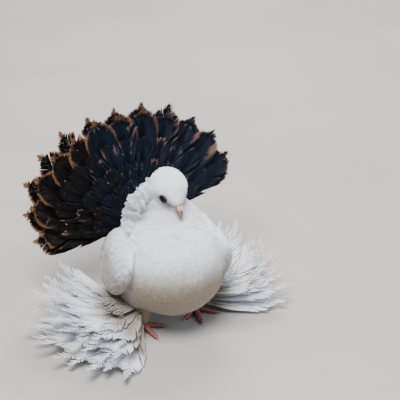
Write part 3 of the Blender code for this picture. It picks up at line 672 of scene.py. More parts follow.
def make_dark(name, rims):
    """Dark tail feathers: blue-black on the bird's left and brown-black on its right, with painted sheen as
    faint streaks along the barbs, painted highlights as pale patches on the curled barbs and as flecks on
    the outer barbs, and tan rims by the share rims, partly bleached barb edges and partly painted light
    shining through them."""
    colours = bpy.context.scene.pigeon_colours
    tree, shader = surface(name, 0.46, Specular_IOR_Level=0.15, Sheen_Weight=0.02,
                           Sheen_Roughness=0.35)
    at = here(tree)
    split = node(tree, "ShaderNodeSeparateXYZ", {0: at})
    along, reach, chance = marks = [mark(tree, key) for key in ("along", "reach", "chance")]
    drift = sums(tree, "MULTIPLY_ADD", chance, 0.04, split.outputs[0])
    brown = ranged(tree, drift, -0.040, 0.030, 1.0, 0.0)
    base = mixed(tree, brown, rgba(colours.navy), rgba(colours.brown))

    # Faint streaks along the barbs: painted sheen
    worn = noise(tree, drawn_out(tree, marks, (16.0, 2.2, 50.0)), 1.0, 3.0)
    streaked = mixed(tree, ranged(tree, worn, 0.58, 0.76, 0.0, 0.5), base, rgba(colours.worn))

    # Pale patches on the curled barbs near the ends: painted highlights
    own = drawn_out(tree, marks, (5.0, 1.2, 90.0))
    patch = ranged(tree, noise(tree, own, 1.0, 2.0), 0.57, 0.66)
    curl_sheen = product(tree, product(tree, patch, ranged(tree, reach, 0.45, 0.85)),
                     ranged(tree, along, 0.45, 0.75, 0.0, 0.75))
    sheen = mixed(tree, curl_sheen, streaked, rgba(colours.sheen))

    # Pale flecks on the outer barbs: painted highlights, fewer on the blue-black side
    small = node(tree, "ShaderNodeVectorMath", {0: own, 1: (3.1, 2.4, 1.0)}, operation="MULTIPLY")
    outer = product(tree, ranged(tree, reach, 0.25, 0.5), ranged(tree, along, 0.45, 0.7, 0.0, 0.8))
    glint = product(tree, ranged(tree, noise(tree, small.outputs[0], 1.0, 1.0), 0.685, 0.73), outer)
    glint = product(tree, glint, sums(tree, "MULTIPLY_ADD", brown, 0.7, 0.3))
    glinted = mixed(tree, glint, sheen, rgba(colours.glint))

    # Tan rims and crowns at the feathers' ends: partly the barbs' own bleached edges, partly painted light
    # shining through them from behind; strongest on the brown-black side
    rim = product(tree, ranged(tree, reach, 0.78, 0.96), ranged(tree, along, 0.40, 0.70, 0.0, rims))
    crown = product(tree, ranged(tree, along, 0.925, 0.965, 0.0, rims), 0.8)
    edge = product(tree, sums(tree, "MAXIMUM", rim, crown),
                   ranged(tree, drift, -0.02, 0.085, 1.0, 0.15))
    tree.links.new(mixed(tree, edge, glinted, rgba(colours.rim)), shader.inputs["Base Color"])
    relieve(tree, shader, noise(tree, at, 1400.0, 2.0), 0.35, 0.0002)


def make_horn(name, first, second, roughness, scale):
    """Horn or bare skin: two colours in a soft grain, the second towards the tip, with fine relief."""
    tree, shader = surface(name, roughness, Specular_IOR_Level=0.45)
    at = here(tree)
    cloud = noise(tree, at, scale, 4.0)
    mask = sums(tree, "MULTIPLY_ADD", cloud, 0.6, product(tree, mark(tree, "along"), 0.6))
    colour = mixed(tree, ranged(tree, mask, 0.2, 0.9), rgba(first), rgba(second))
    tree.links.new(colour, shader.inputs["Base Color"])
    relieve(tree, shader, noise(tree, at, scale * 4, 3.0), 0.3, 0.0002)


def make_toe_skin():
    """Red foot skin: darker between the scutes and paler on their crests, which chance marks."""
    colours = bpy.context.scene.pigeon_colours
    tree, shader = surface("foot_scutes", 0.50, Specular_IOR_Level=0.4)
    crest = mark(tree, "chance")
    at = here(tree)
    scurf = noise(tree, at, 600.0, 3.0)
    grains = node(tree, "ShaderNodeTexVoronoi", {"Vector": at, "Scale": 900.0}).outputs["Distance"]
    base = mixed(tree, ranged(tree, crest, 0.15, 0.9), rgba(colours.foot_dark), rgba(colours.foot))
    pale = mixed(tree, ranged(tree, scurf, 0.55, 0.75, 0.0, 0.4), base, rgba(colours.foot_pale))
    tree.links.new(pale, shader.inputs["Base Color"])
    relieve(tree, shader, grains, 0.35, 0.0003)


def make_eye_surface():
    """A wet dark eye: a black pupil in a brown streaked iris with a black ring round it, by the
    share of the way from the front of the eyeball to its back."""
    colours = bpy.context.scene.pigeon_colours
    tree, shader = surface("wet_eye", 0.30, Coat_Weight=0.30, Coat_Roughness=0.02, Coat_IOR=1.25,
                           Specular_IOR_Level=0.05)
    place = node(tree, "ShaderNodeUVMap", uv_map="Vane").outputs[0]
    polar = node(tree, "ShaderNodeSeparateXYZ", {0: place}).outputs[1]
    streak = node(tree, "ShaderNodeTexNoise", {"Vector": place, "Scale": 40.0}).outputs["Fac"]
    iris = mixed(tree, ranged(tree, streak, 0.35, 0.7), rgba(colours.iris), rgba(colours.iris_pale))
    pupil = ranged(tree, polar, 0.150, 0.165)
    ring = ranged(tree, polar, 0.27, 0.31)
    inner = mixed(tree, pupil, (0.002, 0.002, 0.002, 1.0), iris)
    tree.links.new(mixed(tree, ring, inner, (0.006, 0.005, 0.005, 1.0)), shader.inputs["Base Color"])


# Skin

# How many times the joined skin is smoothed, and how far inside the eyeball its socket lies
SKIN_EASINGS = 19
SOCKET_GAP = 0.0010


def oval_rings(middles, across, up, wide, high, deep, sides):
    """Rings round the middles: cos and sin of the turn times the half width and the height or depth."""
    turn = circle(sides)
    tall = np.where(np.sin(turn) > 0, high[:, None], deep[:, None]) * np.sin(turn)
    flat = wide[:, None] * np.cos(turn)
    return middles[:, None] + flat[..., None] * across + tall[..., None] * up


def trunk_rings(grow):
    """Upright ovals from the breast back to the rump."""
    shares = eased(36)
    wide, high, deep, level = through(TRUNK, shares).T
    middles = np.stack([0 * shares, BREAST_Y - grow + (RUMP_Y - BREAST_Y + 2 * grow) * shares, level], 1)
    return oval_rings(middles, -LEFT, UP, wide + grow, high + grow, deep + grow, 56)


def neck_rings(grow):
    """Level ovals from inside the breast up into the head."""
    shares = np.linspace(0, 1, 28)
    y, z, wide, deep = through(NECK, shares).T
    middles = np.stack([0 * y, y, z], 1)
    return oval_rings(middles, LEFT, BACK, wide + grow, deep + grow, deep + grow, 48)


def skull_rings(grow):
    """Ovals across the head's own axis from the nape to the root of the bill, with a low brow."""
    shares = eased(30)
    wide, high, deep = through(HEAD, shares).T
    brow = 1 + 0.05 * np.exp(-((shares - 0.66) / 0.10) ** 2)
    ahead = -NAPE_BACK - grow + (FACE_FRONT + NAPE_BACK + 2 * grow) * shares
    middles = np.stack([0 * shares, ahead, 0 * shares], 1)
    return in_head(oval_rings(middles, -LEFT, UP, wide + grow, (high + grow) * brow, deep + grow, 48))


def arm_rings(side, grow):
    """Lenses across the folded wing, thinner towards the tail."""
    back, up, out = wing_axes(side)
    shares = eased(26)
    swell = np.maximum(0.06, np.sin(math.pi * shares) ** 0.6) * (1 - 0.30 * shares)
    middles = WING_MIDDLES[side] + np.outer(WING_REACH * (2 * shares - 1), back)
    wide = np.maximum(WING_THICK * swell + grow, 0.001)
    high = np.maximum(WING_RISE * swell + grow, 0.001)
    deep = np.maximum(WING_DROP * swell + grow, 0.001)
    slope = 1 - SHOULDER_SLOPE * (1 - smooth(0.25, 0.80, shares))
    return oval_rings(middles, out * side, up, wide, high * slope, deep, 40)


def flank_rings(side, grow):
    """Upright ovals that fill the hollow between the belly and the folded wing."""
    shares = eased(20)
    swell = np.sqrt(np.maximum(np.sin(math.pi * shares), 0.01))
    middles = straight(FLANK_START, FLANK_RUN, shares, side)
    wide, high = FLANK_THICK * swell + grow, FLANK_TALL * swell + grow
    return oval_rings(middles, -LEFT, UP, wide, high, high, 32)


def shank_rings(stand, grow):
    """Level rounds from the foot up into the belly."""
    shares = np.linspace(0, 1, 8)
    radii = SHANK_THICK + SHANK_SWELL * shares + grow
    height = SHANK_FOOT + (SHANK_TOP + SHANK_INSIDE - SHANK_FOOT) * shares
    return oval_rings(stand + height[:, None] * UP, LEFT, BACK, radii, radii, radii, 24)


def make_skin_piece():
    """One skin: the bodies are joined on a fine grid, smoothed, and pressed in behind the eyes."""
    sizes = bpy.context.scene.pigeon_sizes
    parts = [trunk_rings(-sizes.coat_depth), neck_rings(-sizes.coat_depth),
             skull_rings(-sizes.face_depth)]
    for name, side in SIDES:
        parts.append(arm_rings(side, -sizes.coat_depth))
        parts.append(flank_rings(side, -sizes.coat_depth))
        parts.append(shank_rings(LEG_SPOTS[name], -sizes.coat_depth))
    points, quads, triangles, count = [], [], [], 0
    for rings in parts:
        body_points, body_quads, body_triangles = loft(rings)
        points.append(body_points)
        quads.append(body_quads + count)
        triangles.append(body_triangles + count)
        count += len(body_points)
    skin = mesh_object("skin", np.concatenate(points), np.concatenate(quads),
                       np.concatenate(triangles), "skin_under_plumage")
    grid = skin.modifiers.new("grid", "REMESH")
    grid.mode = "VOXEL"
    grid.voxel_size = sizes.skin_grid
    ease = skin.modifiers.new("ease", "SMOOTH")
    ease.factor = 0.5
    ease.iterations = SKIN_EASINGS
    view = bpy.context.evaluated_depsgraph_get()
    view.update()
    mesh = bpy.data.meshes.new_from_object(skin.evaluated_get(view))
    skin.modifiers.clear()
    skin.data = mesh
    mesh.name = "skin"
    mesh.polygons.foreach_set("use_smooth", np.ones(len(mesh.polygons), bool))
    place = np.empty(len(mesh.vertices) * 3, np.float32)
    mesh.vertices.foreach_get("co", place)
    at = place.reshape(-1, 3) - PLACE
    for _, side in SIDES:
        centre, aim = eye_place(side)
        aim = aim @ HEAD_AXES.T
        out, wide = from_axis(at, in_head(centre), aim)
        near = (wide < EYE_RADIUS) & (out > -EYE_BEHIND)
        ball = np.sqrt(np.maximum((EYE_RADIUS - SOCKET_GAP) ** 2 - wide**2, 0))
        depth = np.minimum(out, ball - 0.0004)
        at[near] += (depth - out)[near, None] * aim
    mesh.vertices.foreach_set("co", (at + PLACE).astype(np.float32).ravel())
    mesh.update()
    return skin


class Ground:
    """The skin as something to lay feathers on: nearest place and smooth normal."""

    def __init__(self):
        """Takes the skin's points, triangles and mean normals, in the bird's own axes."""
        mesh = bpy.data.objects["skin"].data
        flat = np.empty(len(mesh.vertices) * 3, np.float32)
        mesh.vertices.foreach_get("co", flat)
        self.points = flat.reshape(-1, 3).astype(float) - PLACE
        mesh.vertices.foreach_get("normal", flat)
        normals = flat.reshape(-1, 3).astype(float)
        mesh.calc_loop_triangles()
        corners = np.empty(len(mesh.loop_triangles) * 3, np.int32)
        mesh.loop_triangles.foreach_get("vertices", corners)
        self.triangles = corners.reshape(-1, 3)
        self.normals = unit(normals[self.triangles].mean(axis=1))
        self.tree = BVHTree.FromPolygons(self.points.tolist(), self.triangles.tolist())

    def nearest(self, points):
        """The nearest places of the skin and its normals there."""
        found = [self.tree.find_nearest(point) for point in points.tolist()]
        where = np.array([tuple(hit[0]) for hit in found])
        return where, self.normals[[hit[2] for hit in found]]

    def scatter(self, wanted, spacing, rng, share=3.2):
        """Random places by area on the triangles whose middles are wanted, thinned until they lie
        spacing(points) apart; share is how many are tried for each that fits."""
        keep = wanted(self.points[self.triangles].mean(axis=1))
        a, b, c = (self.points[self.triangles[keep][:, i]] for i in range(3))
        area = np.linalg.norm(np.cross(b - a, c - a), axis=1) / 2
        weight = area / spacing((a + b + c) / 3) ** 2
        count = int(weight.sum() * share)
        pick = rng.choice(len(area), count, p=weight / weight.sum())
        u, v = rng.random((2, count))
        fold = u + v > 1
        u, v = np.where(fold, 1 - u, u)[:, None], np.where(fold, 1 - v, v)[:, None]
        places = a[pick] + (b - a)[pick] * u + (c - a)[pick] * v
        gaps = spacing(places)
        tree = KDTree(count)
        for index, place in enumerate(places.tolist()):
            tree.insert(place, index)
        tree.balance()
        alive = np.ones(count, bool)
        for index in range(count):
            if alive[index]:
                for _, other, _ in tree.find_range(places[index].tolist(), gaps[index]):
                    if other > index:
                        alive[other] = False
        return places[alive]


def in_wing(points):
    """How far a place lies inside the oval of the folded wing on its side: above 0 is inside."""
    side = np.where(points[:, 0] > 0, 1.0, -1.0)
    best = np.full(len(points), -1.0)
    for way in (1, -1):
        back, up, out = wing_axes(way)
        off = points - WING_MIDDLES[way]
        inside = 1 - ((off @ back + 0.002) / 0.052) ** 2 - ((off @ up) / 0.0385) ** 2
        inside = np.where(off @ out > -0.004, inside, -1.0)
        best = np.where(side == way, inside, best)
    return best


def flow(points, normals):
    """The way the feathers lie: from the bill over the head, away from the throat over the breast,
    then back along the belly and the folded wings; always along the surface."""
    head = to_head(points)
    near = 1 - smooth(0.022, 0.036, np.linalg.norm(head * (1, 0.8, 1), axis=1))[:, None]
    from_bill = unit(points - in_head((0.0, 0.024, 0.001)))
    rear = np.maximum(smooth(0.055, 0.020, points[:, 2]), smooth(-0.030, 0.030, points[:, 1]))[:, None]
    down = unit(points - THROAT) * (1 - 0.85 * rear) + np.array((0, 1.0, -0.25)) * rear
    down = unit(down)
    wing = smooth(-0.10, 0.12, in_wing(points))[:, None]
    left, right = wing_axes(1)[0], wing_axes(-1)[0]
    back = np.where(points[:, :1] > 0, left, right)
    way = down * (1 - near) + from_bill * near
    way = way * (1 - wing) + back * wing
    return unit(way - normals * (way * normals).sum(axis=1, keepdims=True))


# Small feathers that lie on the skin

# A leaf's rings: shares of its length, and of its half width. Then the height of its ridge to its
# half width, how far its root is sunk, the cosine of the sharpest bend between two rings, and how
# much of the last ring's way and normal the next one keeps
LEAF_SHARES = np.array((0.0, 0.28, 0.55, 0.80, 0.95))
LEAF_WIDTHS = np.array((0.42, 0.86, 1.0, 0.86, 0.46))
LEAF_RIDGE = 0.09
LEAF_SUNK = 0.0003
LEAF_SHARPEST = 0.45
LEAF_KEPT = 0.6


def unwrap(points, middle):
    """Places on an unwrap of the skin as seen from a middle inside it: turn by angle from the top,
    with a margin of two hundredths."""
    off = points - middle
    turn = np.arctan2(off[:, 0], -off[:, 1]) / (2 * math.pi) + 0.5
    rise = np.arccos(np.clip(unit(off)[:, 2], -1, 1)) / math.pi
    return np.stack([turn * 0.96 + 0.02, 0.98 - rise * 0.96], axis=1)


def lay_leaves(coat, ground, places, length, half, lift, rng, middle, turn=0.10, thick=0.00022, soft=0.30,
               grain=0.07):
    """Leaf-shaped feathers that follow the skin from their roots, each tip lifted off it.

    Each of a leaf's rings has its two edges and a ridge between them. At share r of its length it
    stands lift times r to the power 1.4 off the skin, so that each lies on the ones behind it. It
    is lit as the skin beneath it, its edges turned out by soft and the whole by a random grain,
    which makes the coat soft. A leaf that would bend too sharply is left out.
    """
    count = len(places)
    step, normal = ground.nearest(places)
    length = length * (1 + rng.uniform(-0.12, 0.12, count))
    half = half * (1 + rng.uniform(-0.10, 0.10, count))
    swing = rng.normal(0, turn, count)[:, None]
    tips = 1 + rng.normal(0, 0.25, count)
    rings, ways, shade = [], [], []
    tilt = rng.normal(0, grain, (count, 3))
    even = np.ones(count, bool)
    way = flow(step, normal)
    last = 0.0
    for share, width in zip(LEAF_SHARES, LEAF_WIDTHS):
        first, kept = normal, way
        if share > 0:
            step, normal = ground.nearest(step + way * (length * (share - last))[:, None])
            even &= (normal * first).sum(axis=1) > LEAF_SHARPEST
            normal = unit(normal + first * LEAF_KEPT)
        last = share
        way = flow(step, normal)
        side = np.cross(way, normal)
        way = unit(way + side * swing)
        if share > 0:
            even &= (way * kept).sum(axis=1) > LEAF_SHARPEST
            way = unit(way + kept * LEAF_KEPT)
        side = unit(np.cross(way, normal))
        rise = (-LEAF_SUNK + (lift * tips + LEAF_SUNK) * share**1.4)[:, None]
        middle_line = step + normal * rise
        out = side * (half * width)[:, None]
        ridge = normal * (half * width * LEAF_RIDGE + thick)[:, None]
        rings.append(np.stack([middle_line + out, middle_line - out, middle_line + ridge], axis=1))
        lean = normal + way * 0.10 * share + tilt
        shade.append(np.stack([lean + side * soft, lean - side * soft, lean], axis=1))
        ways.append(way)
    keel = rings[-1].mean(axis=1)
    rings = np.stack(rings, axis=1)
    tip = keel + ways[-1] * (length * (1 - LEAF_SHARES[-1]))[:, None] - normal * thick
    tail = rings[:, 0].mean(axis=1) - ways[0] * (length * 0.05)[:, None] - normal * thick
    root = unwrap(places, middle)[:, None, None]
    across = np.array((1.0, 0.0, 0.5))
    flat = np.stack(np.broadcast_arrays(across[None, None], LEAF_SHARES[None, :, None]), axis=-1)
    flat = np.broadcast_to(flat, (count, len(LEAF_SHARES), 3, 2))
    bake = root + (flat - 0.5) * 0.003
    chance = np.broadcast_to(rng.random(count)[:, None, None], flat.shape[:3])
    marks = np.stack([flat[..., 1], flat[..., 1], chance], axis=-1)
    shade = np.stack(shade, axis=1)
    spindles(coat, rings[even], tip[even], tail[even], bake[even], flat[even], marks[even], shade[even])


# Long feathers: a shaft with two rows of barbs

Vane = namedtuple("Vane", "outline angles half first last spacing bend curl camber thick pull "
                          "clump splits shaft fringe")
# The outline is the half width against the share of the length, and angles are the barbs' way from
# the shaft, in degrees, against the share where they leave it. Barbs leave between first and last,
# a spacing apart, bend towards the tip, curl up at their ends and arch by camber; clump neighbours
# are drawn together by pull. Half is the half width, thick a barb's thickness and shaft the shaft's
# radius. The fringe is separate barbs: from, to, spacing, first and last length, first and last
# angle, width, and how far they curl.
VANES = {
    "fan": Vane(
        outline=((0, 0.10), (0.14, 0.15), (0.38, 0.62), (0.63, 0.93), (0.80, 1.0), (0.87, 0.92),
                 (0.92, 0.72), (0.95, 0.44), (0.965, 0.0)),
        angles=((0, 40), (0.3, 46), (0.6, 50), (0.8, 46), (0.88, 34), (0.94, 14)),
        half=0.0172, first=0.10, last=0.94, spacing=0.00090, bend=18, curl=0.0050, camber=0.08,
        thick=0.00030, pull=0.10, clump=8, splits=1, shaft=0.00080,
        fringe=(0.935, 0.972, 0.0006, 0.0062, 0.0052, 72, 12, 0.0016, 0.003)),
    "fan_covert": Vane(
        outline=((0, 0.20), (0.3, 0.75), (0.6, 1.0), (0.85, 0.9), (0.96, 0.5), (1.0, 0.0)),
        angles=((0, 34), (0.6, 38), (0.9, 24), (1.0, 6)),
        half=0.0115, first=0.06, last=0.96, spacing=0.0012, bend=14, curl=0.0012, camber=0.10,
        thick=0.00025, pull=0.6, clump=4, splits=2, shaft=0.00060, fringe=None),
    "muff": Vane(
        outline=((0, 0.10), (0.22, 0.40), (0.48, 0.98), (0.66, 1.0), (0.80, 0.84), (0.84, 0.5),
                 (0.86, 0.0)),
        angles=((0, 36), (0.4, 44), (0.7, 46), (0.8, 36), (0.9, 24)),
        half=0.0125, first=0.05, last=0.76, spacing=0.00100, bend=18, curl=0.0016, camber=0.05,
        thick=0.00035, pull=0.95, clump=5, splits=3, shaft=0.00085,
        fringe=(0.72, 0.965, 0.0030, 0.0120, 0.0060, 52, 24, 0.0024, 0.002)),
    "flight": Vane(
        outline=((0, 0.3), (0.25, 0.80), (0.65, 1.0), (0.90, 0.78), (0.97, 0.4), (1.0, 0.0)),
        angles=((0, 30), (0.6, 34), (0.9, 22), (1.0, 4)),
        half=0.0100, first=0.02, last=0.97, spacing=0.0010, bend=10, curl=0.0, camber=0.10,
        thick=0.00025, pull=0.15, clump=6, splits=1, shaft=0.00070, fringe=None),
    "plume": Vane(
        outline=((0, 0.22), (0.3, 0.75), (0.7, 1.0), (0.88, 0.85), (1.0, 0.0)),
        angles=((0, 36), (0.6, 34), (0.9, 22), (1.0, 6)),
        half=0.0066, first=0.05, last=0.95, spacing=0.0011, bend=16, curl=0.0008, camber=0.04,
        thick=0.00022, pull=0.30, clump=2, splits=1, shaft=0.00030, fringe=None),
}
# Where a barb has its sections, and the width of a vane's and of a fringe's barb at each
BARB_SHARES = np.array((0.0, 0.34, 0.64, 0.88, 1.0))
VANE_WIDTHS = np.array((1.0, 1.08, 1.04, 0.80, 0.0))
FRINGE_WIDTHS = np.array((0.85, 1.0, 0.76, 0.40, 0.0))


class Shaft:
    """A feather's own axes: along its bent shaft, to its side and up off its face."""

    def __init__(self, root, along, face, length, bend, roll):
        """Where it starts and points, the way it faces, its length, and its bend and roll."""
        self.root, self.along, self.length = root, unit(along), length
        self.face = unit(face - self.along * self.along.dot(face))
        self.bend = bend if abs(bend) > 1e-4 else 1e-4
        self.roll = roll

    def place(self, flat):
        """Flat places (across, along, off the face), bent on the shaft's arc: at share s the shaft
        has turned by bend times s, and it rolls round itself within its first 15 hundredths."""
        share = flat[..., 1] / self.length
        turn = (self.bend * share)[..., None]
        radius = self.length / self.bend
        centre = self.root + self.along * radius * np.sin(turn) + self.face * radius * (1 - np.cos(turn))
        heading = self.along * np.cos(turn) + self.face * np.sin(turn)
        beside = unit(np.cross(self.along, self.face))
        off = np.cross(beside, heading)
        roll = (self.roll * np.clip(share / 0.15, 0, 1))[..., None]
        side = beside * np.cos(roll) - off * np.sin(roll)
        up = off * np.cos(roll) + beside * np.sin(roll)
        return centre + side * flat[..., :1] + up * flat[..., 2:3]


def arc_of(angle, bend, distance):
    """Place after a distance on an arc that leaves at angle and turns towards the tip by bend."""
    end = angle - bend * distance
    return (np.cos(end) - np.cos(angle)) / bend, (np.sin(angle) - np.sin(end)) / bend, end


def barb_rings(across, along, angle, width, thick, lift, way):
    """Three-sided sections along flat barbs: the two edges in the vane's plane and the ridge."""
    beside = np.stack([np.cos(angle), -way * np.sin(angle), np.zeros_like(angle)], axis=-1)
    middle = np.stack([way * across, along, lift], axis=-1)
    half = (width / 2)[..., None] * beside
    low = thick * 0.5 * UP
    return np.stack([middle + half - low, middle - half - low * 0.2, middle + low], axis=-2)


def vane_barbs(vane, length, scale, rng):
    """The closed vane on one side: where barbs leave, how long they are and how they lie.

    Each barb follows its arc until it meets the outline. Splits turn the barbs on both sides of a
    place away from it, by 3 to 7 degrees at the place and none 7 hundredths of the length away, and
    clumps draw the ends of neighbours together. A barb is 1.3 times as wide as the gap to the next
    one, so that the vane is closed, and every second one lies a little higher.
    """
    half = vane.half * scale
    count = max(6, int(length * (vane.last - vane.first) / vane.spacing))
    share = np.linspace(vane.first, vane.last, count) + rng.normal(0, 0.15, count) / count
    angle = np.radians(table(vane.angles, share))
    for place in rng.uniform(0.30, 0.86, vane.splits):
        apart = (share - place) / 0.07
        angle -= np.radians(rng.uniform(3, 7)) * np.sign(apart) * np.clip(1 - np.abs(apart), 0, 1)
    bend = math.radians(vane.bend) / half
    reach = np.linspace(0.0, 2.2 * half, 45)
    x, y, _ = arc_of(angle[:, None], bend, reach[None])
    y = y + (share * length)[:, None]
    outside = x > half * table(vane.outline, y / length)
    outside[:, -1] = True
    outside[:, 0] = False
    far = reach[np.argmax(outside, axis=1)] * (1 + rng.normal(0, 0.025, count))
    x, y, end = arc_of(angle[:, None], bend, far[:, None] * BARB_SHARES)
    y = y + (share * length)[:, None]
    clump = (np.arange(count) + rng.integers(0, vane.clump)) // vane.clump
    total = np.bincount(clump, minlength=clump.max() + 1)
    mean = (np.bincount(clump, weights=share) / np.maximum(total, 1))[clump] * length
    pull = vane.pull * smooth(0.10, 0.85, share)
    y = y + ((mean - share * length) * pull)[:, None] * BARB_SHARES**2
    offset = rng.normal(0, 0.00022, clump.max() + 1)[clump][:, None] * BARB_SHARES**2
    turned = np.clip((BARB_SHARES - 0.55) / 0.45, 0, 1) ** 2
    curl = vane.curl * scale * turned * smooth(0.35, 0.8, share)[:, None]
    stagger = 0.00012 * (np.arange(count) % 2)[:, None]
    lift = -vane.camber * half * (x / half) ** 2 + curl + offset + stagger
    dense = length * (vane.last - vane.first) / count * np.sin(angle)
    fanned = np.abs(np.gradient(angle)) * far
    width = ((dense * 1.30)[:, None] + fanned[:, None] * BARB_SHARES) * VANE_WIDTHS
    return share, x, y, end, width, lift, vane.thick


# How much the barbs of a fringe bend towards the tip, over how far
FRINGE_BEND = math.radians(28) / 0.010


def fringe_barbs(vane, length, scale, rng, way):
    """Separate stout barbs along the bare end of the shaft, shorter towards its tip."""
    first, last, spacing, longest, shortest, wide_angle, near_angle, width, curl = vane.fringe
    count = max(3, int(length * (last - first) / spacing))
    share = np.linspace(first, last, count) + 0.5 * (way > 0) * (last - first) / count
    t = (share - first) / (last - first)
    angle = np.radians(wide_angle + (near_angle - wide_angle) * t) + rng.normal(0, 0.09, count)
    far = (longest + (shortest - longest) * t) * scale * (1 + rng.normal(0, 0.12, count))
    x, y, end = arc_of(angle[:, None], FRINGE_BEND, far[:, None] * BARB_SHARES)
    y = y + (share * length)[:, None]
    lift = curl * BARB_SHARES**2 * rng.uniform(0.2, 1.4, count)[:, None]
    wide = width * scale * FRINGE_WIDTHS * rng.uniform(0.75, 1.15, count)[:, None]
    return share, x, y, end, wide, lift, vane.thick * 1.4


def spread_marks(along, reach, chance, shape):
    """The three marks of every ring point, each spread over the shape."""
    return np.stack([np.broadcast_to(value, shape) for value in (along, reach, chance)], axis=-1)


def long_feather(coat, vane, shaft, scale, cell, rng):
    """A whole feather: both sides of its closed vane, the fringe at its end, and its shaft."""
    length, half = shaft.length, vane.half * scale
    chance = rng.random()

    def maps(points):
        """A place on the map of all feathers, in this one's cell, and one on its own."""
        across, along = points[..., 0], points[..., 1]
        place = np.stack([0.5 + 0.42 * across / half, 0.02 + 0.9 * along / length], axis=-1)
        corner, size = cell
        return corner + place * size, place

    rows = []
    for way in (1, -1):
        rows.append((way, vane_barbs(vane, length, scale, rng)))
        if vane.fringe:
            rows.append((way, fringe_barbs(vane, length, scale, rng, way)))
    for way, (share, x, y, end, width, lift, thick) in rows:
        rings = barb_rings(x, y, end, width, thick, lift, way)
        tips = rings[:, -1].mean(axis=1)
        rings = rings[:, :-1]
        tails = rings[:, 0].mean(axis=1)
        marks = spread_marks(share[:, None, None], BARB_SHARES[None, :-1, None], chance, rings.shape[:3])
        spindles(coat, shaft.place(rings), shaft.place(tips), shaft.place(tails), *maps(rings), marks)
    run = np.linspace(0, 0.985, 12)[:, None]
    turn = circle(5)
    thick = vane.shaft * (1 - 0.78 * run)
    rings = np.stack([thick * np.cos(turn), length * run + 0 * turn,
                      thick * (0.3 - np.sin(turn))], axis=-1)[None]
    marks = spread_marks(run, 0.0, chance, rings.shape[:3])
    ends = np.array(((0, length, 0), (0, -0.002, 0)))
    spindles(coat, shaft.place(rings), shaft.place(ends[:1]), shaft.place(ends[1:]), *maps(rings), marks)


def cells(count):
    """The corner and size of each feather's own part of the map, in rows of eight."""
    size = np.array((1 / 8, 1 / math.ceil(count / 8)))
    return [(np.array((index % 8, index // 8)) * size, size) for index in range(count)]


# Pieces

def settle(piece, slot, *nodes):
    """Makes a piece ride on the figure and hides the solids it stands for; slot is not used."""
    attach(piece, "root")
    if nodes:
        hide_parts(*nodes)


def length_of(label, text, default):
    """A length in metres that a user may change."""
    return FloatProperty(name=label, description=text, default=default, unit="LENGTH")


def colour_of(label, text, default):
    """A colour that a user may change."""
    return FloatVectorProperty(name=label, description=text, default=default, subtype="COLOR",
                               min=0.0, max=1.0)


class PigeonSizes(bpy.types.PropertyGroup):
    """Sizes of the skin and its feathers."""

    coat_depth: length_of("Coat depth", "How far the skin lies inside the body's solids", 0.0021)
    face_depth: length_of("Face depth", "How far the skin lies inside the head's solid", 0.0011)
    skin_grid: length_of("Skin grid", "Cell of the grid on which the skin is joined", 0.0011)
    body_feather: length_of("Body feather", "Length of a breast feather", 0.0084)
    body_gap: length_of("Body spacing", "Distance between the roots of breast feathers", 0.00155)
    wing_feather: length_of("Wing covert", "Length of a wing covert", 0.0150)


